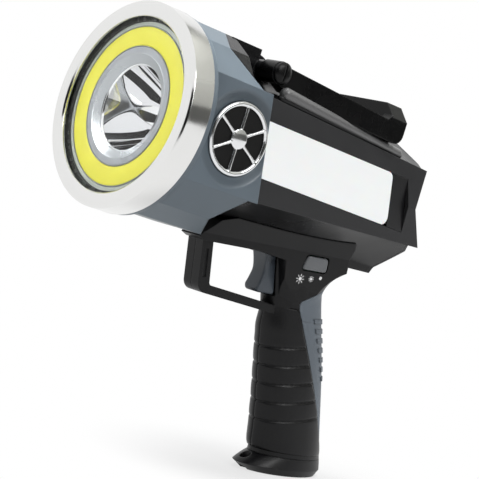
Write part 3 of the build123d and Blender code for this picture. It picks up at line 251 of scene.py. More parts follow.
class NodeBoard:
    """Places and links nodes in one tree."""

    def __init__(self, tree: Tree) -> None:
        """Empty a material's or a group's tree."""
        self.tree = tree
        self.tree.nodes.clear()

    def feed(self, node: Node, ins: dict) -> Node:
        """Set or link a node's inputs.

        Args:
            node: a node of the tree.
            ins: values, or sockets to link, by input name or number.
        Returns:
            The same node.
        """
        for key, value in ins.items():
            if isinstance(value, Socket):
                self.tree.links.new(value, node.inputs[key])
            else:
                node.inputs[key].default_value = value
        return node

    def add(self, kind: str, ins: dict | None = None, **settings: object) -> Node:
        """Add a node.

        Args:
            kind: the node's type.
            ins: values, or sockets to link, by input name or number.
            settings: properties of the node.
        Returns:
            The new node.
        """
        node = self.tree.nodes.new(kind)
        for key, value in settings.items():
            setattr(node, key, value)
        return self.feed(node, ins or {})

    def group(self, tree: Tree, ins: dict) -> Node:
        """Place a shared group with its own values."""
        return self.add("ShaderNodeGroup", ins, node_tree=tree)

    def place(self) -> Socket:
        """Object coordinates."""
        return self.add("ShaderNodeTexCoord").outputs["Object"]

    def math(self, operation: str, a: object, b: object = 0.0) -> Socket:
        """Result of a math node on two values or sockets."""
        return self.add("ShaderNodeMath", {0: a, 1: b}, operation=operation).outputs[0]

    def vector(self, operation: str, *values: object) -> Socket:
        """Result of a vector math node, a number for a length or a dot product."""
        node = self.add("ShaderNodeVectorMath", dict(enumerate(values)), operation=operation)
        return node.outputs["Value" if operation in ("LENGTH", "DOT_PRODUCT") else "Vector"]

    def ramp(self, value: object, low: float, high: float) -> Socket:
        """Smooth step of a value from low to high."""
        return self.add("ShaderNodeMapRange", {0: value, 1: low, 2: high},
                        interpolation_type="SMOOTHSTEP").outputs[0]

    def mixed(self, factor: object, a: object, b: object, mode: str = "MIX") -> Socket:
        """Colour between two colours."""
        return self.add("ShaderNodeMix", {0: factor, 6: a, 7: b}, data_type="RGBA",
                        blend_type=mode).outputs[2]

    def noise(self, vector: object, scale: object, detail: float = 2.0,
              rough: float = 0.5) -> Socket:
        """Value of a noise texture."""
        return self.add("ShaderNodeTexNoise", {"Vector": vector, "Scale": scale,
                                               "Detail": detail, "Roughness": rough}).outputs[0]

    def cells(self, vector: object, size: object) -> Socket:
        """Distance to the nearest middle of a cell, for cells of a given size."""
        return self.add("ShaderNodeTexVoronoi", {
            "Vector": vector, "Scale": self.math("DIVIDE", 1.0, size)}).outputs["Distance"]

    def bump(self, strength: float, distance: float, height: Socket, **normal: Socket) -> Socket:
        """Normal of a relief, over the node's own Normal or a given one."""
        return self.add("ShaderNodeBump", {"Strength": strength, "Distance": distance,
                                           "Height": height, **normal}).outputs[0]


SOCKETS = {"Vector": "NodeSocketVector", "Normal": "NodeSocketVector",
           "Colour": "NodeSocketColor", "Deep": "NodeSocketColor"}


def new_group(name: str, ins: str, outs: str) -> tuple[NodeBoard, Node, list[Socket]]:
    """Start a shared group with named sockets.

    Args:
        name: the group's name.
        ins: names of its inputs.
        outs: names of its outputs.
    Returns:
        The board, the group's output node and its inputs' sockets in order.
    """
    tree = bpy.data.node_groups.new(name, "ShaderNodeTree")
    for way, labels in (("INPUT", ins), ("OUTPUT", outs)):
        for label in labels.split():
            tree.interface.new_socket(name=label, in_out=way,
                                      socket_type=SOCKETS.get(label, "NodeSocketFloat"))
    board = NodeBoard(tree)
    given = board.add("NodeGroupInput").outputs
    return board, board.add("NodeGroupOutput"), [given[label] for label in ins.split()]


class SharedEffects:
    """Effects that several finishes use, each a group built once."""

    def __init__(self) -> None:
        """Build every group."""
        self.grain = self._grain()
        self.tone = self._tone()
        self.rub_and_sheen = self._edge_wear_and_highlight()
        self.lathe_lines = self._lathe_lines()
        self.speckle = self._speckle()
        self.dish = self._dish()

    def _grain(self) -> Tree:
        """Spark-eroded mould grain: fine noise plus shallow cells, times the depth."""
        board, out, (vector, size, depth) = new_group("mould_grain", "Vector Size Depth",
                                                      "Height")
        fine = board.noise(vector, board.math("DIVIDE", 1.0, size), 3.0, 0.6)
        both = board.math("ADD", fine, board.math("MULTIPLY", board.cells(vector, size), 0.45))
        board.feed(out, {"Height": board.math("MULTIPLY", both, depth)})
        return board.tree

    def _tone(self) -> Tree:
        """Slight drift of tone and gloss that moulding and handling leave."""
        board, out, (vector, colour, drift, gloss) = new_group(
            "handling_tone", "Vector Colour Drift Gloss", "Colour Roughness")
        broad = board.ramp(board.noise(vector, 22.0, 3.0), 0.35, 0.65)
        stretched = board.add("ShaderNodeMapping", {"Vector": vector, "Rotation": (0.3, 0.5, 0.8),
                                                    "Scale": (260.0, 36.0, 60.0)}).outputs[0]
        scuffs = board.ramp(board.noise(stretched, 1.0, 4.0, 0.65), 0.60, 0.78)
        paler = board.mixed(1.0, colour, (1.35, 1.35, 1.36, 1.0), "MULTIPLY")
        drift = board.math("MULTIPLY", board.math("ADD", broad, scuffs), drift)
        dull = board.math("MULTIPLY", board.math("SUBTRACT", broad, 0.5), 0.10)
        dull = board.math("ADD", dull, board.math("MULTIPLY", scuffs, 0.10))
        board.feed(out, {"Colour": board.mixed(drift, colour, paler),
                         "Roughness": board.math("ADD", gloss, dull)})
        return board.tree

    def _edge_wear_and_highlight(self) -> Tree:
        """Rounded edges that catch light, and a paler colour on every edge and crease: partly
        wear, partly a painted highlight.

        The mask is one less the product of the rounded normal and the face's own normal.
        """
        board, out, (vector, colour, radius, amount) = new_group(
            "edge_wear_and_highlight", "Vector Colour Radius Amount", "Colour Normal")
        bevel = board.add("ShaderNodeBevel", {"Radius": radius}, samples=4).outputs[0]
        true = board.add("ShaderNodeNewGeometry").outputs["True Normal"]
        turn = board.math("SUBTRACT", 1.0, board.vector("DOT_PRODUCT", bevel, true))
        patchy = board.ramp(board.noise(vector, 180.0, 3.0, 0.7), 0.35, 0.70)
        mask = board.math("MULTIPLY", board.ramp(turn, 0.02, 0.28), patchy)
        mask = board.math("MULTIPLY", mask, amount)
        # Paler edge colour, partly wear and partly a painted highlight along edges and creases.
        worn_and_lit = board.mixed(1.0, colour, (0.07, 0.07, 0.072, 1.0), "ADD")
        board.feed(out, {"Colour": board.mixed(mask, colour, worn_and_lit), "Normal": bevel})
        return board.tree

    def _lathe_lines(self) -> Tree:
        """Fine turning lines round the beam: noise of the radius plus the depth."""
        board, out, (vector, pitch) = new_group("lathe_lines", "Vector Pitch", "Height")
        local = board.add("ShaderNodeMapping", {
            "Vector": vector, "Location": tuple(BEAM.centre()),
            "Rotation": (0.0, -BEAM.pitch, 0.0)}, vector_type="TEXTURE").outputs[0]
        split = board.add("ShaderNodeSeparateXYZ", {0: local}).outputs
        flat = board.add("ShaderNodeCombineXYZ", {1: split[1], 2: split[2]}).outputs[0]
        run = board.math("ADD", board.vector("LENGTH", flat), split[0])
        slow = board.vector("MULTIPLY", flat, (9.0, 9.0, 9.0))
        spread = board.add("ShaderNodeSeparateXYZ", {0: slow}).outputs
        place = board.add("ShaderNodeCombineXYZ", {
            0: board.math("DIVIDE", run, pitch), 1: spread[1], 2: spread[2]})
        board.feed(out, {"Height": board.noise(place.outputs[0], 1.0, 2.0)})
        return board.tree

    def _speckle(self) -> Tree:
        """Grain of phosphor in its binder: cells of slightly different depth of colour."""
        board, out, (vector, size, colour, deep) = new_group(
            "phosphor_speckle", "Vector Size Colour Deep", "Colour Height")
        cells = board.cells(vector, size)
        cloud = board.ramp(board.noise(vector, 60.0, 3.0), 0.30, 0.75)
        amount = board.math("MULTIPLY", board.ramp(cells, 0.25, 0.75), cloud)
        board.feed(out, {"Height": cells, "Colour": board.mixed(amount, colour, deep)})
        return board.tree

    def _dish(self) -> Tree:
        """Shallow dish round each side grille: a smooth step of the distance from its axis."""
        board, out, (vector,) = new_group("grille_dish", "Vector", "Height")
        middle = BEAM.place(np.array([-SideGrille.back, 0.0, 0.0]))
        offset = board.vector("SUBTRACT", vector, tuple(middle))
        away = board.vector("LENGTH", board.vector("MULTIPLY", offset, (1.0, 0.0, 1.0)))
        board.feed(out, {"Height": board.ramp(away, *SideGrille.dish)})
        return board.tree


# Finishes


@dataclass(frozen=True)
class Finish:
    """What a piece is made of."""

    name: str
    colour: Point

    def rgba(self) -> tuple[float, float, float, float]:
        """The colour with full cover."""
        return (*self.colour, 1.0)

    def paint(self, board: NodeBoard, shader: Node) -> None:
        """Set and link the surface shader's inputs.

        Args:
            board: the material's board.
            shader: its surface shader.
        """
        raise NotImplementedError

    def material(self) -> Material:
        """Build the finish."""
        material, board, shader = new_material(self.name)
        self.paint(board, shader)
        return material


def new_material(name: str) -> tuple[Material, NodeBoard, Node]:
    """Start a material.

    Args:
        name: its name.
    Returns:
        The material, its board and its surface shader, already linked.
    """
    material = bpy.data.materials.new(name)
    material.use_nodes = True
    board = NodeBoard(material.node_tree)
    shader = board.add("ShaderNodeBsdfPrincipled")
    board.add("ShaderNodeOutputMaterial", {"Surface": shader.outputs[0]})
    return material, board, shader


@dataclass(frozen=True)
class WornAndEdgeLit(Finish):
    """A finish whose tone and gloss drift, and whose edges are rounded and painted paler: partly
    wear, partly a painted highlight.
    """

    gloss: float = 0.42
    drift: float = 0.35
    # How much paler the edges are painted: partly wear, partly a painted highlight.
    rub_and_sheen: float = 0.6
    edge: float = 0.0005

    def wear_and_edge_light(self, board: NodeBoard, shader: Node, place: Socket) -> Socket:
        """Link the drifting colour, with edges painted paler as partly wear and partly a painted
        highlight, and the roughness.

        Args:
            board: the material's board.
            shader: its surface shader.
            place: object coordinates.
        Returns:
            The normal with rounded edges.
        """
        tone = board.group(EFFECTS.tone, {"Vector": place, "Colour": self.rgba(),
                                          "Drift": self.drift, "Gloss": self.gloss})
        rub_and_sheen = board.group(EFFECTS.rub_and_sheen, {"Vector": place, "Colour": tone.outputs["Colour"],
                                        "Radius": self.edge, "Amount": self.rub_and_sheen})
        board.feed(shader, {"Base Color": rub_and_sheen.outputs["Colour"],
                            "Roughness": tone.outputs["Roughness"]})
        return rub_and_sheen.outputs["Normal"]


@dataclass(frozen=True)
class Moulded(WornAndEdgeLit):
    """Moulded plastic or rubber with grain."""

    grain: float = 0.00045
    depth: float = 0.35
    dish: float = 0.0
    specular: float = 0.5

    def paint(self, board: NodeBoard, shader: Node) -> None:
        """Lay the grain over the rounded edges, and over the dish if there is one."""
        place = board.place()
        normal = self.wear_and_edge_light(board, shader, place)
        if self.dish > 0:
            dish = board.group(EFFECTS.dish, {"Vector": place})
            normal = board.bump(1.0, self.dish, dish.outputs["Height"], Normal=normal)
        grain = board.group(EFFECTS.grain, {"Vector": place, "Size": self.grain,
                                            "Depth": self.depth})
        normal = board.bump(0.25, 0.00006, grain.outputs["Height"], Normal=normal)
        board.feed(shader, {"Normal": normal, "Specular IOR Level": self.specular})


@dataclass(frozen=True)
class Metal(WornAndEdgeLit):
    """Metal that was turned, cast or coated."""

    drift: float = 0.08
    rub_and_sheen: float = 0.3
    edge: float = 0.0003
    cut: Cut = Cut.CAST
    pitch: float = 0.0002

    def paint(self, board: NodeBoard, shader: Node) -> None:
        """Lay the cut's relief over the rounded edges."""
        place = board.place()
        normal = self.wear_and_edge_light(board, shader, place)
        if self.cut is not Cut.COATED:
            lines = board.group(EFFECTS.lathe_lines, {"Vector": place, "Pitch": self.pitch}) \
                if self.cut is Cut.TURNED else board.group(EFFECTS.grain, {
                    "Vector": place, "Size": self.pitch, "Depth": 1.0})
            normal = board.bump(self.cut.value, 0.00005, lines.outputs["Height"],
                                Normal=normal)
        board.feed(shader, {"Normal": normal, "Metallic": 1.0})


@dataclass(frozen=True)
class ClearWindow(Finish):
    """Clear flat window, with faint wiping marks in its gloss."""

    def paint(self, board: NodeBoard, shader: Node) -> None:
        """Haze the gloss a little."""
        haze = board.ramp(board.noise(board.place(), 40.0, 4.0, 0.7), 0.45, 0.9)
        board.feed(shader, {"Roughness": board.math("MULTIPLY", haze, 0.03),
                            "Base Color": self.rgba(), "Transmission Weight": 1.0, "IOR": 1.22})


@dataclass(frozen=True)
class Phosphor(Finish):
    """Yellow phosphor in a clear binder."""

    deep: Point
    size: float = 0.0006
    gloss: float = 0.38

    def paint(self, board: NodeBoard, shader: Node) -> None:
        """Speckle the colour and the relief."""
        speckle = board.group(EFFECTS.speckle, {
            "Vector": board.place(), "Size": self.size, "Colour": self.rgba(),
            "Deep": (*self.deep, 1.0)})
        board.feed(shader, {"Base Color": speckle.outputs["Colour"], "Roughness": self.gloss,
                            "Normal": board.bump(0.3, 0.0001, speckle.outputs["Height"])})


@dataclass(frozen=True)
class Milky(Finish):
    """Milky plastic that spreads light."""

    gloss: float = 0.24
    drift: float = 0.008

    def paint(self, board: NodeBoard, shader: Node) -> None:
        """Let a little light under the surface."""
        place = board.place()
        tone = board.group(EFFECTS.tone, {"Vector": place, "Colour": self.rgba(),
                                          "Drift": self.drift})
        grain = board.group(EFFECTS.grain, {"Vector": place, "Size": 0.0009, "Depth": 0.25})
        board.feed(shader, {"Base Color": tone.outputs["Colour"], "Roughness": self.gloss,
                            "Normal": board.bump(0.15, 0.00004, grain.outputs["Height"]),
                            "Subsurface Weight": 0.15, "Subsurface Scale": 0.003})


HEAD_GREY = Moulded("head_blue_grey_dished", (0.098, 0.124, 0.146), gloss=0.38, edge=0.0012,
                    dish=0.0065)
SHELL_BLACK = Moulded("shell_black", (0.0055, 0.0055, 0.0062), gloss=0.30, edge=0.0009,
                      rub_and_sheen=0.5, specular=0.30)
FRAME_BLACK = Moulded("frame_black", (0.022, 0.022, 0.023), gloss=0.34, edge=0.0007,
                      rub_and_sheen=0.5, specular=0.18)
ARM_BLACK = Moulded("arm_black", (0.0028, 0.0028, 0.0030), gloss=0.26, edge=0.0011, rub_and_sheen=0.5,
                    specular=0.20)
GRIP_BLACK = Moulded("grip_black", (0.0045, 0.0045, 0.0050), gloss=0.36, grain=0.0007,
                     depth=0.6, edge=0.0010, rub_and_sheen=0.3, specular=0.24)
SKIN_BLACK = replace(GRIP_BLACK, name="grip_skin_black", edge=0.0002, rub_and_sheen=0.0)
STRAP_GREY = Moulded("strap_rubber", (0.105, 0.125, 0.146), gloss=0.58, grain=0.0006,
                     depth=0.5, edge=0.0014)
TRIGGER_GREY = Moulded("trigger_grey", (0.038, 0.047, 0.058), gloss=0.36, edge=0.0016)
# The body's black lightened about fifteenfold to a dark grey: a painted highlight along the
# rounded deck edge.
BEAD_PAINTED_SHEEN = Moulded("bead_painted_sheen", (0.085, 0.085, 0.085), gloss=0.34, rub_and_sheen=0.0, drift=0.2,
                     depth=0.15, specular=0.9)
BUTTON_GREY = Moulded("button_grey", (0.115, 0.120, 0.126), edge=0.0004)
COLLAR_GREY = Moulded("collar_pale_grey", (0.42, 0.44, 0.475), gloss=0.30, rub_and_sheen=0.0,
                      edge=0.0003, drift=0.08, depth=0.1)
DAM_GREY = Moulded("dam_silicone", (0.26, 0.28, 0.31), gloss=0.35, rub_and_sheen=0.0, edge=0.0001,
                   drift=0.1)
CHANNEL_DARK = Moulded("channel_rubber", (0.038, 0.043, 0.036), gloss=0.5, rub_and_sheen=0.0)
VENT_BLACK = Moulded("vent_black", (0.004, 0.004, 0.004), gloss=0.6, rub_and_sheen=0.0, specular=0.2)
CARD_BLACK = Moulded("card_black", (0.012, 0.012, 0.012), gloss=0.8, rub_and_sheen=0.0, specular=0.1)
CARD_DIM = replace(CARD_BLACK, name="card_dim", colour=(0.09, 0.09, 0.085))
CARD_GREY = replace(CARD_BLACK, name="card_grey", colour=(0.40, 0.40, 0.37))
CARD_PALE = replace(CARD_BLACK, name="card_pale", colour=(0.66, 0.66, 0.61))
BOARD_GREY = Moulded("board_pale_grey", (0.55, 0.59, 0.53), gloss=0.36, rub_and_sheen=0.0, edge=0.0002)
BOARD_GREEN = Moulded("board_lacquer", (0.02, 0.13, 0.06), gloss=0.25, rub_and_sheen=0.0, edge=0.0002)
WASHER_WHITE = Moulded("washer_white", (0.75, 0.75, 0.72), gloss=0.35, rub_and_sheen=0.0, edge=0.0002)
CELL_WRAP = Moulded("cell_wrap", (0.05, 0.16, 0.38), gloss=0.22, rub_and_sheen=0.0, edge=0.0003)
MARK_WHITE = Moulded("mark_white", (0.80, 0.80, 0.80), gloss=0.4, rub_and_sheen=0.0, edge=0.00005,
                     drift=0.05)
CHIP_CERAMIC = Moulded("chip_ceramic", (0.42, 0.42, 0.42), gloss=0.3, rub_and_sheen=0.0, edge=0.0001)
BEZEL_METAL = Metal("bezel_satin", (0.79, 0.79, 0.78), gloss=0.17, cut=Cut.TURNED)
CONE_METAL = Metal("cone_satin", (0.50, 0.52, 0.54), gloss=0.30, cut=Cut.TURNED)
BOWL_METAL = Metal("bowl_bright", (0.90, 0.90, 0.91), gloss=0.06, cut=Cut.COATED, edge=0.0001)
SINK_METAL = Metal("sink_cast", (0.52, 0.53, 0.54), gloss=0.48, pitch=0.0008)
GRILLE_METAL = Metal("grille_plated", (0.78, 0.79, 0.80), gloss=0.12, cut=Cut.COATED,
                     edge=0.0006)
SCREW_METAL = Metal("screw_steel", (0.50, 0.50, 0.51), gloss=0.32, pitch=0.0003)
WINDOW = ClearWindow("window_clear", (0.985, 0.995, 0.995))
FLOOD_YELLOW = Phosphor("flood_yellow", (0.98, 0.93, 0.055), (0.92, 0.83, 0.03))
CHIP_YELLOW = Phosphor("chip_yellow", (0.86, 0.72, 0.10), (0.75, 0.58, 0.04), 0.0002)
PANEL_WHITE = Milky("panel_milky", (0.93, 0.935, 0.925))


class FinishRack:
    """Builds each finish once."""

    def __init__(self) -> None:
        """Start empty."""
        self.built: dict[str, Material] = {}

    def get(self, finish: Finish) -> Material:
        """Material of a finish, built on first use."""
        if finish.name not in self.built:
            self.built[finish.name] = finish.material()
        return self.built[finish.name]

    def dress(self, piece: Thing, finish: Finish) -> None:
        """Give a new piece one finish."""
        piece.data.materials.append(self.get(finish))

    def dress_nodes(self, finish: Finish, *nodes: str) -> None:
        """Give nodes of the frame a finish in each of their slots.

        Args:
            finish: what they are made of.
            nodes: their names.
        """
        for node in nodes:
            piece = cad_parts[node]
            for place in piece.material_slots:
                place.material = self.get(finish)
            if not len(piece.material_slots):
                self.dress(piece, finish)
            log.info("dressed %s with %s", node, finish.name)


RACK = FinishRack()


def settle(piece: Thing, slot: str, finish: Finish, *nodes: str,
           body: Body = Body.LAMP) -> None:
    """Seal and dress a new piece, name its body, and hide the nodes it stands for.

    Points that coincide at poles are merged, and all faces turned outwards.

    Args:
        piece: the new piece, closed.
        slot: the record's material slot; not used.
        finish: its finish.
        nodes: the nodes it replaces.
        body: the body it rides on.
    """
    form = bmesh.new()
    form.from_mesh(piece.data)
    bmesh.ops.remove_doubles(form, verts=form.verts, dist=1e-7)
    bmesh.ops.recalc_face_normals(form, faces=form.faces)
    form.to_mesh(piece.data)
    form.free()
    RACK.dress(piece, finish)
    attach(piece, body.value)
    if nodes:
        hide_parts(*nodes)
    log.info("made %s on %s", piece.name, body.value)


# Sub-assemblies


@dataclass
class Bezel:
    """Satin ring round the window, with a rubber channel inside."""

    outer: float = 0.065
    depth: float = 0.0165
    bore: float = 0.0552
    lip: float = 0.0030
    wall: float = 0.0030
    chamfer: float = 0.0012
    soft: float = 0.0004

    def build(self) -> None:
        """Turn the ring and dress what it holds."""
        inner = self.outer - self.wall
        corners = [(0.0, self.bore + self.chamfer), (0.0, self.outer - self.chamfer),
                   (self.chamfer, self.outer), (self.depth, self.outer), (self.depth, inner),
                   (self.lip, inner), (self.lip, self.bore), (self.chamfer, self.bore)]
        profile = rounded([(*corner, self.soft) for corner in corners])
        settle(shell_mesh("bezel_turned", turned(profile, 160)), "satin_metal", BEZEL_METAL,
               "bezel_ring")
        RACK.dress_nodes(WINDOW, "front_lens")
        RACK.dress_nodes(CHANNEL_DARK, "lens_gasket")


@dataclass
class Optics:
    """Flood ring, bright bowl and the spot light at its root."""

    rim_back: float = 0.0077
    mouth_r: float = 0.0279
    throat_r: float = 0.0065
    deep: float = 0.0350
    wall: float = 0.0012
    flood_r: float = 0.0498
    flood_bore: float = 0.0379
    flood_t: float = 0.0006
    collar_r: float = 0.0370
    collar_t: float = 0.0010
    cone_r: float = 0.0328
    cone_d: float = 0.0022
    soft: float = 0.0004
    dam_half: float = 0.00042
    dam_h: float = 0.0007
    chip_half: float = 0.0015
    chip_t: float = 0.0009
    board_r: float = 0.0100
    board_t: float = 0.0016

    def bowl_r(self, depth: np.ndarray | float) -> np.ndarray:
        """Radius at a depth: a parabola's, whose square falls evenly from mouth to throat."""
        fall = self.mouth_r ** 2 - self.throat_r ** 2
        return np.sqrt(self.mouth_r ** 2 - fall * depth / self.deep)

    def bowl(self) -> None:
        """Parabolic bowl of an even wall."""
        depth = np.linspace(self.cone_d, self.deep, 28)
        back, radius = self.rim_back + depth, self.bowl_r(depth)
        inside = np.stack([back, radius], -1)
        outside = np.stack([back, radius + self.wall], -1)[::-1]
        settle(shell_mesh("bowl_spun", turned(np.concatenate([inside, outside]))),
               "reflector_bright", BOWL_METAL, "reflector")

    def collar(self) -> None:
        """Pale flat collar inside the flood ring, and the satin cone down to the bowl."""
        lift = self.rim_back - self.collar_t
        low = self.rim_back + self.cone_d
        edge = float(self.bowl_r(self.cone_d))
        soft, face = self.soft, self.soft / 2
        flat = rounded([
            (self.rim_back, self.collar_r, face / 2), (lift, self.collar_r, face),
            (lift, self.cone_r, face), (self.rim_back, self.cone_r, face / 2)])
        settle(shell_mesh("bowl_collar", turned(flat)), "board_grey", COLLAR_GREY)
        cone = rounded([
            (lift - self.collar_t * 0.15, self.cone_r + soft, soft),
            (lift + self.collar_t * 0.2, self.cone_r - soft, soft),
            (low - soft, edge + soft, soft * 1.2), (low + soft, edge, soft * 0.8),
            (low + self.wall, edge + self.wall, face),
            (self.rim_back + self.collar_t, self.cone_r + soft, soft)])
        settle(shell_mesh("bowl_cone", turned(cone)), "satin_metal", CONE_METAL)

    def flood(self) -> None:
        """Phosphor ring between two half round dams; its crown is a sine's half wave."""
        board = BEAM.rear_of("flood_ring")
        turn = np.linspace(0, math.pi, 9)
        for name, middle, share in (("flood_dam_outer", self.flood_r + self.dam_half, 1.0),
                                    ("flood_dam_inner", self.flood_bore - self.dam_half, 0.9)):
            profile = np.stack([board - self.dam_h * np.sin(turn),
                                middle + self.dam_half * share * np.cos(turn)], -1)
            settle(shell_mesh(name, turned(profile)), "board_grey", DAM_GREY)
        share = np.linspace(0, 1, 14)
        radius = self.flood_bore + (self.flood_r - self.flood_bore) * share
        crown = board - self.flood_t * (0.35 + 0.65 * np.sin(math.pi * share))
        base = np.array([[board, self.flood_r], [board, self.flood_bore]])
        profile = np.concatenate([np.stack([crown, radius], -1), base])
        settle(shell_mesh("flood_phosphor", turned(profile, 160)), "flood_yellow",
               FLOOD_YELLOW, "flood_ring")

    def spot(self) -> None:
        """Ceramic board and squarish crowned chip at the bowl's root.

        The chip's outline is a circle's radius over max(|cos|, |sin|) to the power 0.85; it
        swells as a sine to the power 0.35 while its height falls as the root of a cosine.
        """
        root = BEAM.rear_of("spot_light")
        front = root - self.board_t
        face = self.soft / 2
        disc = rounded([(front, 1e-6, 0.0), (front, self.board_r, face),
                        (root, self.board_r, face), (root, 1e-6, 0.0)], 4)
        settle(shell_mesh("spot_board", turned(disc, 64)), "reflector_bright", CHIP_CERAMIC,
               "spot_light")
        u, v = around(48)[:, None], quarter(9)[None, :]
        square = 1 / np.maximum(np.abs(np.cos(u)), np.abs(np.sin(u))) ** 0.85
        ring = self.chip_half * square * np.sin(v) ** 0.35
        lift = self.chip_t * np.cos(v) ** 0.5 + u * 0
        points = np.stack([-(front - lift), ring * np.cos(u), ring * np.sin(u)], -1)
        foot = np.stack([-front + u * 0, u * 0, u * 0], -1)
        chip = Shell(BEAM.place(np.concatenate([points, foot], axis=1)), True)
        settle(shell_mesh("spot_chip", chip), "flood_yellow", CHIP_YELLOW)

    def build(self) -> None:
        """Make and dress the optics."""
        self.bowl()
        self.collar()
        self.flood()
        self.spot()
        RACK.dress_nodes(BOARD_GREY, "flood_board")
        RACK.dress_nodes(SINK_METAL, "heat_sink")


@dataclass
class Housing:
    """Head, body, side lights, handle, the covers at the tail and what lies inside."""

    def build(self) -> None:
        """Dress the housing's nodes."""
        RACK.dress_nodes(HEAD_GREY, "head_shell")
        RACK.dress_nodes(VENT_BLACK, "grille_backing_left", "grille_backing_right")
        RACK.dress_nodes(SHELL_BLACK, "body_shell_left", "body_shell_right")
        RACK.dress_nodes(FRAME_BLACK, "side_frame_left", "side_frame_right", "rear_cover")
        RACK.dress_nodes(PANEL_WHITE, "side_diffuser_left", "side_diffuser_right")
        RACK.dress_nodes(STRAP_GREY, "port_cover")
        RACK.dress_nodes(ARM_BLACK, "bail_handle", "pivot_cap_left", "pivot_cap_right")
        RACK.dress_nodes(WASHER_WHITE, "pivot_washers")
        RACK.dress_nodes(BOARD_GREEN, "side_light_board_left", "side_light_board_right",
                         "driver_board", "mode_board")
        RACK.dress_nodes(SCREW_METAL, "head_screws", "rear_screws", "charge_port",
                         "body_screws", "grip_screws", "base_screws", "trigger_pin",
                         "trigger_spring")


@dataclass
class SideGrille:
    """Plated round grille on the head's side: a crowned rim, spokes and a domed hub."""

    back: float = 0.050
    rim_r: float = 0.0227
    rim_w: float = 0.0032
    hub_r: float = 0.0062
    hub_rise: float = 0.0006
    thick: float = 0.0018
    spokes: int = 6
    spoke_w: float = 0.0031
    waist: float = 0.70
    dish: Pair = (0.0215, 0.0305)

    def seat(self, out: np.ndarray, along: np.ndarray, lift: np.ndarray) -> np.ndarray:
        """Lay (out, along) offsets on the left side, lifted from the seat.

        Args:
            out: offsets along the beam.
            along: offsets upwards.
            lift: heights over the seat.
        Returns:
            Points in the standing frame.
        """
        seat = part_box("side_grille_left")[1].y - self.thick - self.hub_rise
        return BEAM.place(np.stack([out - self.back, seat + lift, along], -1))

    def ring(self, radius: np.ndarray, lift: np.ndarray, foot: Pair, sides: int) -> Shell:
        """Carry a profile about the grille's axis.

        Args:
            radius: radii of the profile's outer side.
            lift: its heights over the seat.
            foot: the two radii that close it on the seat.
            sides: steps round the axis.
        Returns:
            The closed ring or dome.
        """
        turn = around(sides)[:, None]
        radius, lift = np.concatenate([radius, foot]), np.concatenate([lift, [0.0, 0.0]])
        points = self.seat(radius * np.cos(turn), radius * np.sin(turn), lift + turn * 0)
        return Shell(points, True, True)

    def rim(self) -> Shell:
        """Rim with a crown of a sine's half wave to the power 0.6."""
        share = np.linspace(0, 1, 15)
        lift = self.thick * (0.35 + 0.65 * np.sin(math.pi * share) ** 0.6)
        return self.ring(self.rim_r - self.rim_w * share, lift,
                         (self.rim_r - self.rim_w, self.rim_r), 128)

    def hub(self) -> Shell:
        """Dome: its height falls as a cosine to the power 0.7, to a square foot."""
        share = np.linspace(0, 1, 15)
        top = self.thick + self.hub_rise
        lift = top * (0.55 + 0.45 * np.cos(share * math.pi / 2) ** 0.7)
        return self.ring(np.maximum(self.hub_r * share, 1e-7), lift, (self.hub_r, 1e-7), 64)

    def spoke(self, turn: float) -> Shell:
        """Waisted bar with a half round back, closed at both ends."""
        run = np.linspace(self.hub_r * 0.6, self.rim_r - self.rim_w * 0.4, 17)
        share = np.linspace(-1, 1, 17)
        wide = self.spoke_w / 2 * (self.waist + (1 - self.waist) * share ** 2)
        run = np.concatenate([run[:1], run, run[-1:]])[:, None]
        wide = np.concatenate([[0.0], wide, [0.0]])[:, None]
        tall = np.concatenate([[0.0], share * 0 + self.thick * 0.85, [0.0]])[:, None]
        section = around(16)[None, :]
        side = wide * np.cos(section)
        lift = tall * np.maximum(np.sin(section), 0.0)
        cos, sin = math.cos(turn), math.sin(turn)
        points = self.seat(run * cos - side * sin, run * sin + side * cos, lift)
        return Shell(points, False, True)

    def build(self) -> None:
        """Make the grille on both sides; the right one has y turned over."""
        turns = around(self.spokes) + math.pi / 2
        shells = [self.rim(), self.hub()] + [self.spoke(float(turn)) for turn in turns]
        for side, flip in SIDES:
            piece = shell_mesh("grille_" + side, *[shell.flipped(flip) for shell in shells])
            settle(piece, "grille_silver", GRILLE_METAL, "side_grille_" + side)


@dataclass
class Grip:
    """Grip shells, rubber backstrap, base and what they hold."""

    def build(self) -> None:
        """Dress the grip's nodes."""
        RACK.dress_nodes(GRIP_BLACK, "grip_shell_left", "grip_shell_right", "base_cap")
        RACK.dress_nodes(STRAP_GREY, "backstrap")
        RACK.dress_nodes(SHELL_BLACK, "trigger_switch", "battery_carrier")
        RACK.dress_nodes(CELL_WRAP, "battery_cells")


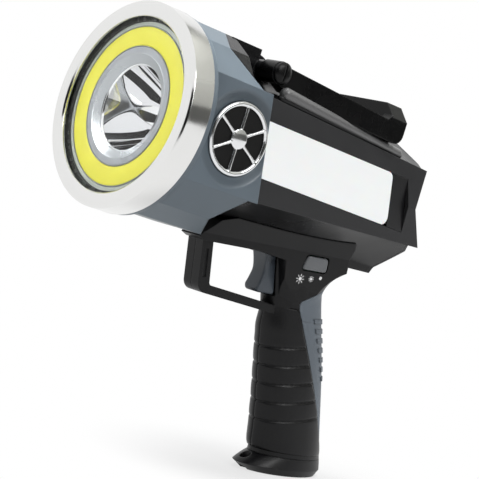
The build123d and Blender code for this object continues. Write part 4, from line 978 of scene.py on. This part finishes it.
@dataclass
class Trigger:
    """Trigger blade with a hollow front, rounded edges and a forward tip.

    Its toe, heel, back and root are (x, z, rounding) of the side outline's corners.
    """

    half: float = 0.0066
    high: float = 0.1467
    low: float = 0.1218
    high_x: float = 0.0578
    low_x: float = 0.0577
    hollow: float = 0.0030
    toe: Point = (0.0579, 0.1186, 0.0030)
    heel: Point = (0.0420, 0.1184, 0.0020)
    back: Point = (0.0468, 0.1418, 0.0015)
    root: Point = (0.0478, 0.1467, 0.0010)
    edge: float = 0.0017

    def outline(self) -> np.ndarray:
        """Side outline: a front drawn back by a sine's half wave, and rounded corners.

        Returns:
            Array of (x, z) points, closed.
        """
        share = np.linspace(0, 1, 14)
        front = self.high_x + (self.low_x - self.high_x) * share \
            - self.hollow * np.sin(math.pi * share)
        face = np.stack([front, self.high + (self.low - self.high) * share], -1)
        steps = 5
        corners = [self.toe, self.heel, self.back, self.root, (self.high_x, self.high, 0.0)]
        return np.concatenate([face, rounded(corners, steps)[:-steps]])

    def build(self) -> None:
        """Carry the outline across: it draws in by a quarter round at both sides."""
        outline = self.outline()
        middle = outline.mean(axis=0)
        turn = quarter(6)
        side = self.half - self.edge + self.edge * np.sin(turn)
        draw = self.edge * (1 - np.cos(turn))
        side = np.concatenate([[self.half], side[::-1], -side, [-self.half]])
        draw = np.concatenate([[1.0], draw[::-1], draw, [1.0]])
        out = outline - middle
        far = np.linalg.norm(out, axis=-1, keepdims=True)
        reach = np.maximum(far[None] - draw[:, None, None], 0.0)
        flat = middle + out[None] / far[None] * reach
        points = np.stack([flat[..., 0], np.broadcast_to(side[:, None], flat.shape[:2]),
                           flat[..., 1]], -1)
        settle(shell_mesh("trigger_blade", Shell(points, False, True)), "trigger_grey",
               TRIGGER_GREY, "trigger", body=Body.TRIGGER)


@dataclass
class GripSkin:
    """Moulded skin on the grip's black part: soft bands between slanted grooves.

    The lean is a height, the middle's x there and its rise with height; the samples are the
    lowest, next and highest heights at which the grip is felt, and frame_groove the height
    of its own top groove, between which and its fellows it is felt too.
    """

    high: float = 0.1125
    low: float = 0.0150
    lean: Point = (0.035, -0.002, 0.255)
    samples: Point = (0.0130, 0.0240, 0.1060)
    sample_gap: float = 0.004
    frame_groove: float = 0.0871
    ray_from: float = 0.06
    sweep: float = 2.9
    rays: int = 93
    top_groove: float = 0.0838
    pitch: float = 0.0123
    grooves: int = 5
    groove_w: float = 0.0006
    groove_d: float = 0.0011
    slant: float = 0.17
    thick: float = 0.0011
    front: float = 0.0023
    crown: float = 0.0004
    parting_w: float = 0.00026
    parting_d: float = 0.00060
    sink: float = 0.0003
    side_round: float = 0.0016
    foot_round: float = 0.012
    top_step: float = 0.018
    strap: Point = (0.0155, -0.0306, 0.575)
    rows: int = 170
    cols: int = 91

    def middle_x(self, z: np.ndarray) -> np.ndarray:
        """Middle of the grip, which leans forward as it rises."""
        return self.lean[1] + self.lean[2] * (z - self.lean[0])

    def felt(self, z: np.ndarray, turn: np.ndarray) -> np.ndarray:
        """Distance from the middle line to the grip's outside, by rays inwards.

        The front column lies in the gap between the shells, and takes its neighbours' mean.

        Args:
            z: heights, one a row.
            turn: angles from +x, one a column.
        Returns:
            Distances, by row and column.
        """
        far = np.zeros((len(z), len(turn)))
        ways = [Vector((math.cos(a), math.sin(a), 0.0)) for a in turn]
        for node in ("grip_shell_left", "grip_shell_right", "backstrap"):
            for i, high in enumerate(z):
                middle = Vector((float(self.middle_x(high)), 0.0, high))
                hits = [tree_of(node).ray_cast(middle + way * self.ray_from, -way)[3]
                        or self.ray_from for way in ways]
                far[i] = np.maximum(far[i], self.ray_from - np.array(hits))
        front = len(turn) // 2
        far[:, front] = (far[:, front - 1] + far[:, front + 1]) / 2
        return far

    def heights(self) -> np.ndarray:
        """Heights to feel the grip at: halfway between the frame's own grooves."""
        between = self.frame_groove + self.pitch * (0.5 - np.arange(self.grooves + 1))
        between = between[between < self.samples[-1] - self.sample_gap]
        return np.sort(np.concatenate([self.samples, between]))

    def shape(self) -> tuple[np.ndarray, np.ndarray, np.ndarray]:
        """Outside of the bare grip on the skin's grid, whose columns crowd at the front.

        Returns:
            Heights, angles and distances from the middle line, by row and column.
        """
        turn = np.linspace(-self.sweep, self.sweep, self.rays)
        at = self.heights()
        far = self.felt(at, turn)
        z = np.linspace(self.high, self.low, self.rows)
        part = np.interp(z, at, np.arange(len(at)))
        step = np.minimum(part.astype(int), len(at) - 2)
        share = (part - step)[:, None]
        rows = far[step] * (1 - share) + far[step + 1] * share
        x = self.middle_x(z)[:, None] + rows * np.cos(turn)
        edge = self.strap[1] + self.strap[2] * (z - self.strap[0])
        half = len(turn) // 2
        limit = np.array([np.interp(-edge[i], -x[i, half:], turn[half:])
                          for i in range(self.rows)])
        u = np.linspace(-1, 1, self.cols)
        angle = limit[:, None] * (np.sign(u) * np.abs(u) ** 1.5)[None, :]
        reach = np.stack([np.interp(angle[i], turn, rows[i]) for i in range(self.rows)])
        return np.broadcast_to(z[:, None], angle.shape), angle, reach

    def lift(self, z: np.ndarray, angle: np.ndarray, reach: np.ndarray) -> np.ndarray:
        """Height of the skin over the grip, before its border is rounded off.

        Grooves and the parting line fall as a bell curve of the distance from them, and a
        band's crown rises as a sine's half wave between its grooves.
        """
        x = reach * np.cos(angle)
        level = z + self.slant * (x - reach[:, self.cols // 2][:, None])
        steps = (self.top_groove - level) / self.pitch
        near = np.clip(np.round(steps), 0, self.grooves - 1)
        away = np.abs(steps - near) * self.pitch
        inside = np.clip(steps * 2 + 1, 0, 1) * np.clip((self.grooves - steps) * 2 - 1, 0, 1)
        crown = self.crown * np.abs(np.sin(math.pi * steps)) ** 0.7 * inside
        groove = self.groove_d * np.exp(-(away / self.groove_w) ** 2)
        parting = self.parting_d * np.exp(-(angle * reach / self.parting_w) ** 2)
        front = self.front * np.maximum(np.cos(angle), 0.0) ** 2
        return self.thick + front + crown - groove - parting

    def border(self, z: np.ndarray, angle: np.ndarray, reach: np.ndarray) -> np.ndarray:
        """Quarter round at the sides and the foot, and a smooth step at the top."""
        side = (np.abs(angle[:, -1:]) - np.abs(angle)) * reach / self.side_round
        share = np.clip(np.minimum(side, (z - self.low) / self.foot_round), 0, 1)
        top = np.clip((self.high - z) / self.top_step, 0, 1)
        return np.sqrt(1 - (1 - share) ** 2) * top ** 2 * (3 - 2 * top)

    def build(self) -> None:
        """Lay the skin: an outer and a hidden face that meet all round the border."""
        z, angle, reach = self.shape()
        edge = self.border(z, angle, reach)
        inner = (reach - edge * self.sink)[:, ::-1]
        far = np.concatenate([reach + edge * self.lift(z, angle, reach), inner], axis=1)
        turn = np.concatenate([angle, angle[:, ::-1]], axis=1)
        tall = np.concatenate([z, z], axis=1)
        points = np.stack([self.middle_x(tall) + far * np.cos(turn), far * np.sin(turn),
                           tall], -1)
        settle(shell_mesh("grip_skin", Shell(points, False, True)), "shell_black", SKIN_BLACK)


@dataclass
class ModeButton:
    """Crowned button cap in its well on the left side."""

    at: Pair = (0.0220, 0.1442)
    half: Pair = (0.0105, 0.0052)
    felt: float = 0.6
    taper: float = 0.0015
    corner: float = 0.0026
    soft: float = 0.001092
    gap: float = 0.00045
    depth: float = 0.0030
    crown: float = 0.00025

    def build(self) -> None:
        """Stack insets of the outline: the walls, a rounded edge and a low crown.

        The crown falls off as the square of the distance from the middle.
        """
        wide, high = self.half[0] - self.gap, self.half[1] - self.gap
        outline = rounded([(-wide + self.taper, high, self.corner),
                           (wide - self.taper, high, self.corner),
                           (wide, -high, self.corner), (-wide, -high, self.corner)], 7)
        turn = quarter(6)
        drop = np.concatenate([[self.depth, self.depth], self.soft * (1 - np.sin(turn)), [0.0]])
        size = np.concatenate([[0.0, 1.0], 1 - self.soft * (1 - np.cos(turn)) / high, [0.0]])
        flat = outline[None] * size[:, None, None]
        reach = (self.half[0] * self.felt, self.half[1] * self.felt)
        a, b, c = side_plane("mode_button", self.at, reach)
        x, z = self.at[0] + flat[..., 0], self.at[1] + flat[..., 1]
        rise = self.crown * (1 - (flat[..., 0] / wide) ** 2) * (drop[:, None] < self.soft)
        y = a + b * x + c * z - self.crown + rise - drop[:, None]
        cap = Shell(np.stack([x, y, z], -1), False, True)
        settle(shell_mesh("mode_button_cap", cap), "button_grey", BUTTON_GREY,
               "mode_button", body=Body.MODE_BUTTON)


@dataclass
class DeckBead:
    """Bead along each side of the deck, above the light panel, in a grey much lighter than the
    body's black: a painted highlight.
    """

    front: Point = (-0.0835, 0.0468, 0.0372)
    rear: Point = (-0.2025, 0.0362, 0.0314)
    radii: Pair = (0.0040, 0.0030)

    def build(self) -> None:
        """Sweep a round section between its ends, which close as half balls."""
        share = np.linspace(0, 1, 25)[1:-1]
        end = quarter(7)
        along = np.concatenate([-np.cos(end), share * 0, np.sin(end)])
        place = np.concatenate([end * 0, share, end * 0 + 1])
        size = np.concatenate([np.sin(end), share * 0 + 1, np.cos(end)])
        radius = self.radii[0] + (self.radii[1] - self.radii[0]) * place
        front, rear = np.array(self.front), np.array(self.rear)
        axis = front + (rear - front) * place[:, None]
        axis[:, 0] -= along * radius
        ring = (radius * np.maximum(size, 1e-5))[:, None]
        turn = around(24)[None, :]
        points = axis[:, None] + np.stack([ring * turn * 0, ring * np.cos(turn),
                                           ring * np.sin(turn)], -1)
        bead = Shell(BEAM.place(points), False, True)
        for side, flip in SIDES:
            settle(shell_mesh("deck_bead_" + side, bead.flipped(flip)), "shell_black",
                   BEAD_PAINTED_SHEEN)


@dataclass
class BrightnessMarks:
    """Two suns and a dot printed on the grip's left side, each (x, z) and radius."""

    large: Point = (0.0311, 0.1328, 0.0013)
    small: Point = (0.0222, 0.1339, 0.0010)
    dot: Point = (0.0148, 0.1355, 0.0012)
    large_rays: Pair = (1.4, 2.6)
    small_rays: Pair = (1.3, 2.1)
    rays: int = 8
    ray_w: float = 0.00062
    ink_t: float = 0.00006
    felt: Pair = (0.0015, 0.0015)

    def on_shell(self, at: Point, flat: np.ndarray) -> np.ndarray:
        """Lay flat (x, z) offsets on the shell's side, with the ink's thickness.

        Args:
            at: the mark.
            flat: array of offsets, last axis x and z.
        Returns:
            Points of the ink's outer face, then of its hidden face.
        """
        a, b, c = side_plane("grip_shell_left", at[:2], self.felt)
        x, z = at[0] + flat[..., 0], at[1] + flat[..., 1]
        y = a + b * x + c * z
        return np.stack([np.stack([x, y + t, z], -1) for t in (self.ink_t, -self.ink_t)])

    def disc(self, name: str, at: Point) -> None:
        """Print a disc: rings of points out to the edge, then back behind."""
        turn = around(28)[:, None]
        out = np.array([1e-6, at[2] * 0.6, at[2]])[None, :]
        faces = self.on_shell(at, np.stack([out * np.cos(turn), out * np.sin(turn)], -1))
        points = np.concatenate([faces[0], faces[1][:, ::-1]], axis=1)
        settle(shell_mesh(name, Shell(points, True)), "diffuser_white", MARK_WHITE)

    def burst(self, name: str, at: Point, span: Pair) -> None:
        """Print rays round a disc as one mesh of small closed boxes.

        Args:
            name: the piece's name.
            at: the mark.
            span: where the rays start and end, in its radii.
        """
        turn = around(self.rays)[:, None]
        inner, outer = at[2] * span[0], at[2] * span[1]
        run = np.array([inner, outer, outer, inner])[None, :]
        side = np.array([-1, -0.6, 0.6, 1])[None, :] * self.ray_w / 2
        cos, sin = np.cos(turn), np.sin(turn)
        faces = self.on_shell(at, np.stack([run * cos - side * sin, run * sin + side * cos], -1))
        points = np.concatenate([faces[0], faces[1]], axis=1).reshape(-1, 3)
        box = np.array([[0, 1, 2, 3], [7, 6, 5, 4], [0, 4, 5, 1], [1, 5, 6, 2], [2, 6, 7, 3],
                        [3, 7, 4, 0]])
        quads = (box[None] + np.arange(self.rays)[:, None, None] * 8).reshape(-1, 4)
        settle(quad_mesh(name, points, quads, smooth=False), "diffuser_white", MARK_WHITE)

    def build(self) -> None:
        """Print the marks."""
        self.disc("mark_high_disc", self.large)
        self.burst("mark_high_rays", self.large, self.large_rays)
        self.disc("mark_low_disc", self.small)
        self.burst("mark_low_rays", self.small, self.small_rays)
        self.disc("mark_off_dot", self.dot)


# Studio


def facing(at: Point, aim: Point) -> Matrix:
    """Turn of something at one point that faces another."""
    return (Vector(at) - Vector(aim)).to_track_quat("Z", "Y").to_matrix()


@dataclass
class Studio:
    """Pale floor, soft lamps, cards for the metal's bands and the photograph's camera."""

    eye: Point = (0.8250, 0.8448, 0.2051)
    right: Point = (-0.7365, 0.6380, 0.2242)
    up: Point = (0.1370, -0.1850, 0.9736)
    lens: float = 131.5
    sky: float = 0.32
    floor_half: float = 4.0
    floor_drop: float = 0.00005
    # Depth and reach of the painted shadow round the base.
    painted_shadow_share: float = 0.30
    painted_shadow_run: Pair = (0.05, 0.14)
    card_aim: Point = (0.06, 0.0, 0.20)
    lamp_aim: Point = (0.06, 0.0, 0.17)

    def camera(self) -> None:
        """Place the camera; its third axis is the product of right and up."""
        right = Vector(self.right).normalized()
        back = right.cross(Vector(self.up)).normalized()
        data = bpy.data.cameras.new("camera")
        data.lens = self.lens
        data.sensor_width = 36.0
        data.clip_start = 0.01
        camera = bpy.data.objects.new("camera", data)
        turn = Matrix((right, back.cross(right), back)).transposed().to_4x4()
        camera.matrix_world = Matrix.Translation(Vector(self.eye)) @ turn
        bpy.context.scene.collection.objects.link(camera)
        bpy.context.scene.camera = camera

    def seen(self, board: NodeBoard) -> Socket:
        """Whether a ray comes from the camera, or from metal or glass."""
        rays = board.add("ShaderNodeLightPath").outputs
        through = board.math("MAXIMUM", rays["Is Transmission Ray"], rays["Is Glossy Ray"])
        return board.math("MAXIMUM", rays["Is Camera Ray"], through)

    def floor(self) -> None:
        """Lay the floor: pale, near white to the camera but for its shadows, with a painted
        shadow round the base, where less white glow lets its grey show.
        """
        side = np.linspace(-self.floor_half, self.floor_half, 3)
        x, y = np.meshgrid(side, side, indexing="ij")
        plane = shell_mesh("floor", Shell(np.stack([x, y, x * 0 - self.floor_drop], -1)))
        material, board, shader = new_material("floor_pale")
        tint = board.math("MULTIPLY", board.noise(board.place(), 3.0, 2.0), 0.04)
        board.feed(shader, {"Roughness": 0.7, "Base Color": board.mixed(
            tint, (0.38, 0.38, 0.38, 1.0), (0.36, 0.36, 0.36, 1.0))})
        glow = board.add("ShaderNodeEmission", {"Color": (1.0, 1.0, 1.0, 1.0)})
        # Painted shadow round the base: within 0.05 to 0.14 m of the origin less white glow is
        # mixed in, so the floor's grey shows, shadowed or not.
        away = board.ramp(board.vector("LENGTH", board.place()), *self.painted_shadow_run)
        clear = board.math("ADD", 1.0 - self.painted_shadow_share,
                           board.math("MULTIPLY", away, self.painted_shadow_share))
        both = board.add("ShaderNodeMixShader", {
            0: board.math("MULTIPLY", self.seen(board), clear), 1: shader.outputs[0],
            2: glow.outputs[0]})
        out = [node for node in board.tree.nodes if node.type == "OUTPUT_MATERIAL"][0]
        board.feed(out, {"Surface": both.outputs[0]})
        plane.data.materials.append(material)

    def world(self) -> None:
        """Grey sky for the light, white where it is seen."""
        world = bpy.data.worlds.new("sky")
        world.use_nodes = True
        bpy.context.scene.world = world
        board = NodeBoard(world.node_tree)
        dim = board.add("ShaderNodeBackground", {"Color": (0.95, 0.97, 1.0, 1.0),
                                                 "Strength": self.sky})
        white = board.add("ShaderNodeBackground", {"Color": (1.0, 1.0, 1.0, 1.0),
                                                   "Strength": 1.0})
        both = board.add("ShaderNodeMixShader", {0: self.seen(board), 1: dim.outputs[0],
                                                 2: white.outputs[0]})
        board.add("ShaderNodeOutputWorld", {"Surface": both.outputs[0]})

    def card(self, name: str, at: Point, size: Pair, finish: Finish) -> None:
        """Stand a card that only reflections show, to give the metal its bands.

        Args:
            name: the card's name.
            at: its middle.
            size: its width and height.
            finish: its paint.
        """
        turn = facing(at, self.card_aim)
        ends = np.array([-0.5, 0.5])
        u, v = np.meshgrid(ends * size[0], ends * size[1], indexing="ij")
        points = np.array(at) + u[..., None] * np.array(turn.col[0]) \
            + v[..., None] * np.array(turn.col[1])
        card = shell_mesh(name, Shell(points))
        card.visible_camera = False
        card.visible_diffuse = False
        card.visible_shadow = False
        RACK.dress(card, finish)

    def lamp(self, name: str, at: Point, size: float, power: float, shines: bool) -> None:
        """Hang a square soft lamp that faces the object.

        Args:
            name: the lamp's name.
            at: its place.
            size: its side.
            power: its power in watts.
            shines: whether reflections show it.
        """
        data = bpy.data.lights.new(name, "AREA")
        data.size = size
        data.energy = power
        lamp = bpy.data.objects.new(name, data)
        lamp.matrix_world = Matrix.Translation(Vector(at)) @ \
            facing(at, self.lamp_aim).to_4x4()
        lamp.visible_glossy = shines
        bpy.context.scene.collection.objects.link(lamp)

    def build(self) -> None:
        """Set up the studio."""
        self.camera()
        self.floor()
        self.world()
        self.card("card_low", (-0.20, 0.52, 0.280), (1.3, 0.17), CARD_DIM)
        self.card("card_middle", (-0.60, 0.80, 0.66), (1.9, 0.46), CARD_GREY)
        self.card("card_top", (-0.70, 0.25, 1.15), (1.6, 0.8), CARD_PALE)
        self.card("card_camera", (1.15, 1.20, 0.45), (2.0, 1.3), CARD_BLACK)
        self.lamp("lamp_front", (1.05, -0.55, 0.85), 0.7, 8.0, False)
        self.lamp("lamp_side", (-0.10, 1.15, 0.95), 0.7, 9.0, True)
        self.lamp("lamp_over", (-0.20, -0.05, 1.40), 0.8, 36.0, False)
        bpy.context.scene.view_settings.view_transform = "Standard"
        log.info("studio is set")


EFFECTS = SharedEffects()


def main() -> None:
    """Build every sub-assembly in order."""
    logging.basicConfig(level=logging.INFO, format="%(name)s: %(message)s")
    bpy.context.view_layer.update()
    for assembly in (Bezel(), Optics(), Housing(), SideGrille(), Grip(), Trigger(), GripSkin(),
                     ModeButton(), DeckBead(), BrightnessMarks(), Studio()):
        assembly.build()


if __name__ == "__main__":
    main()
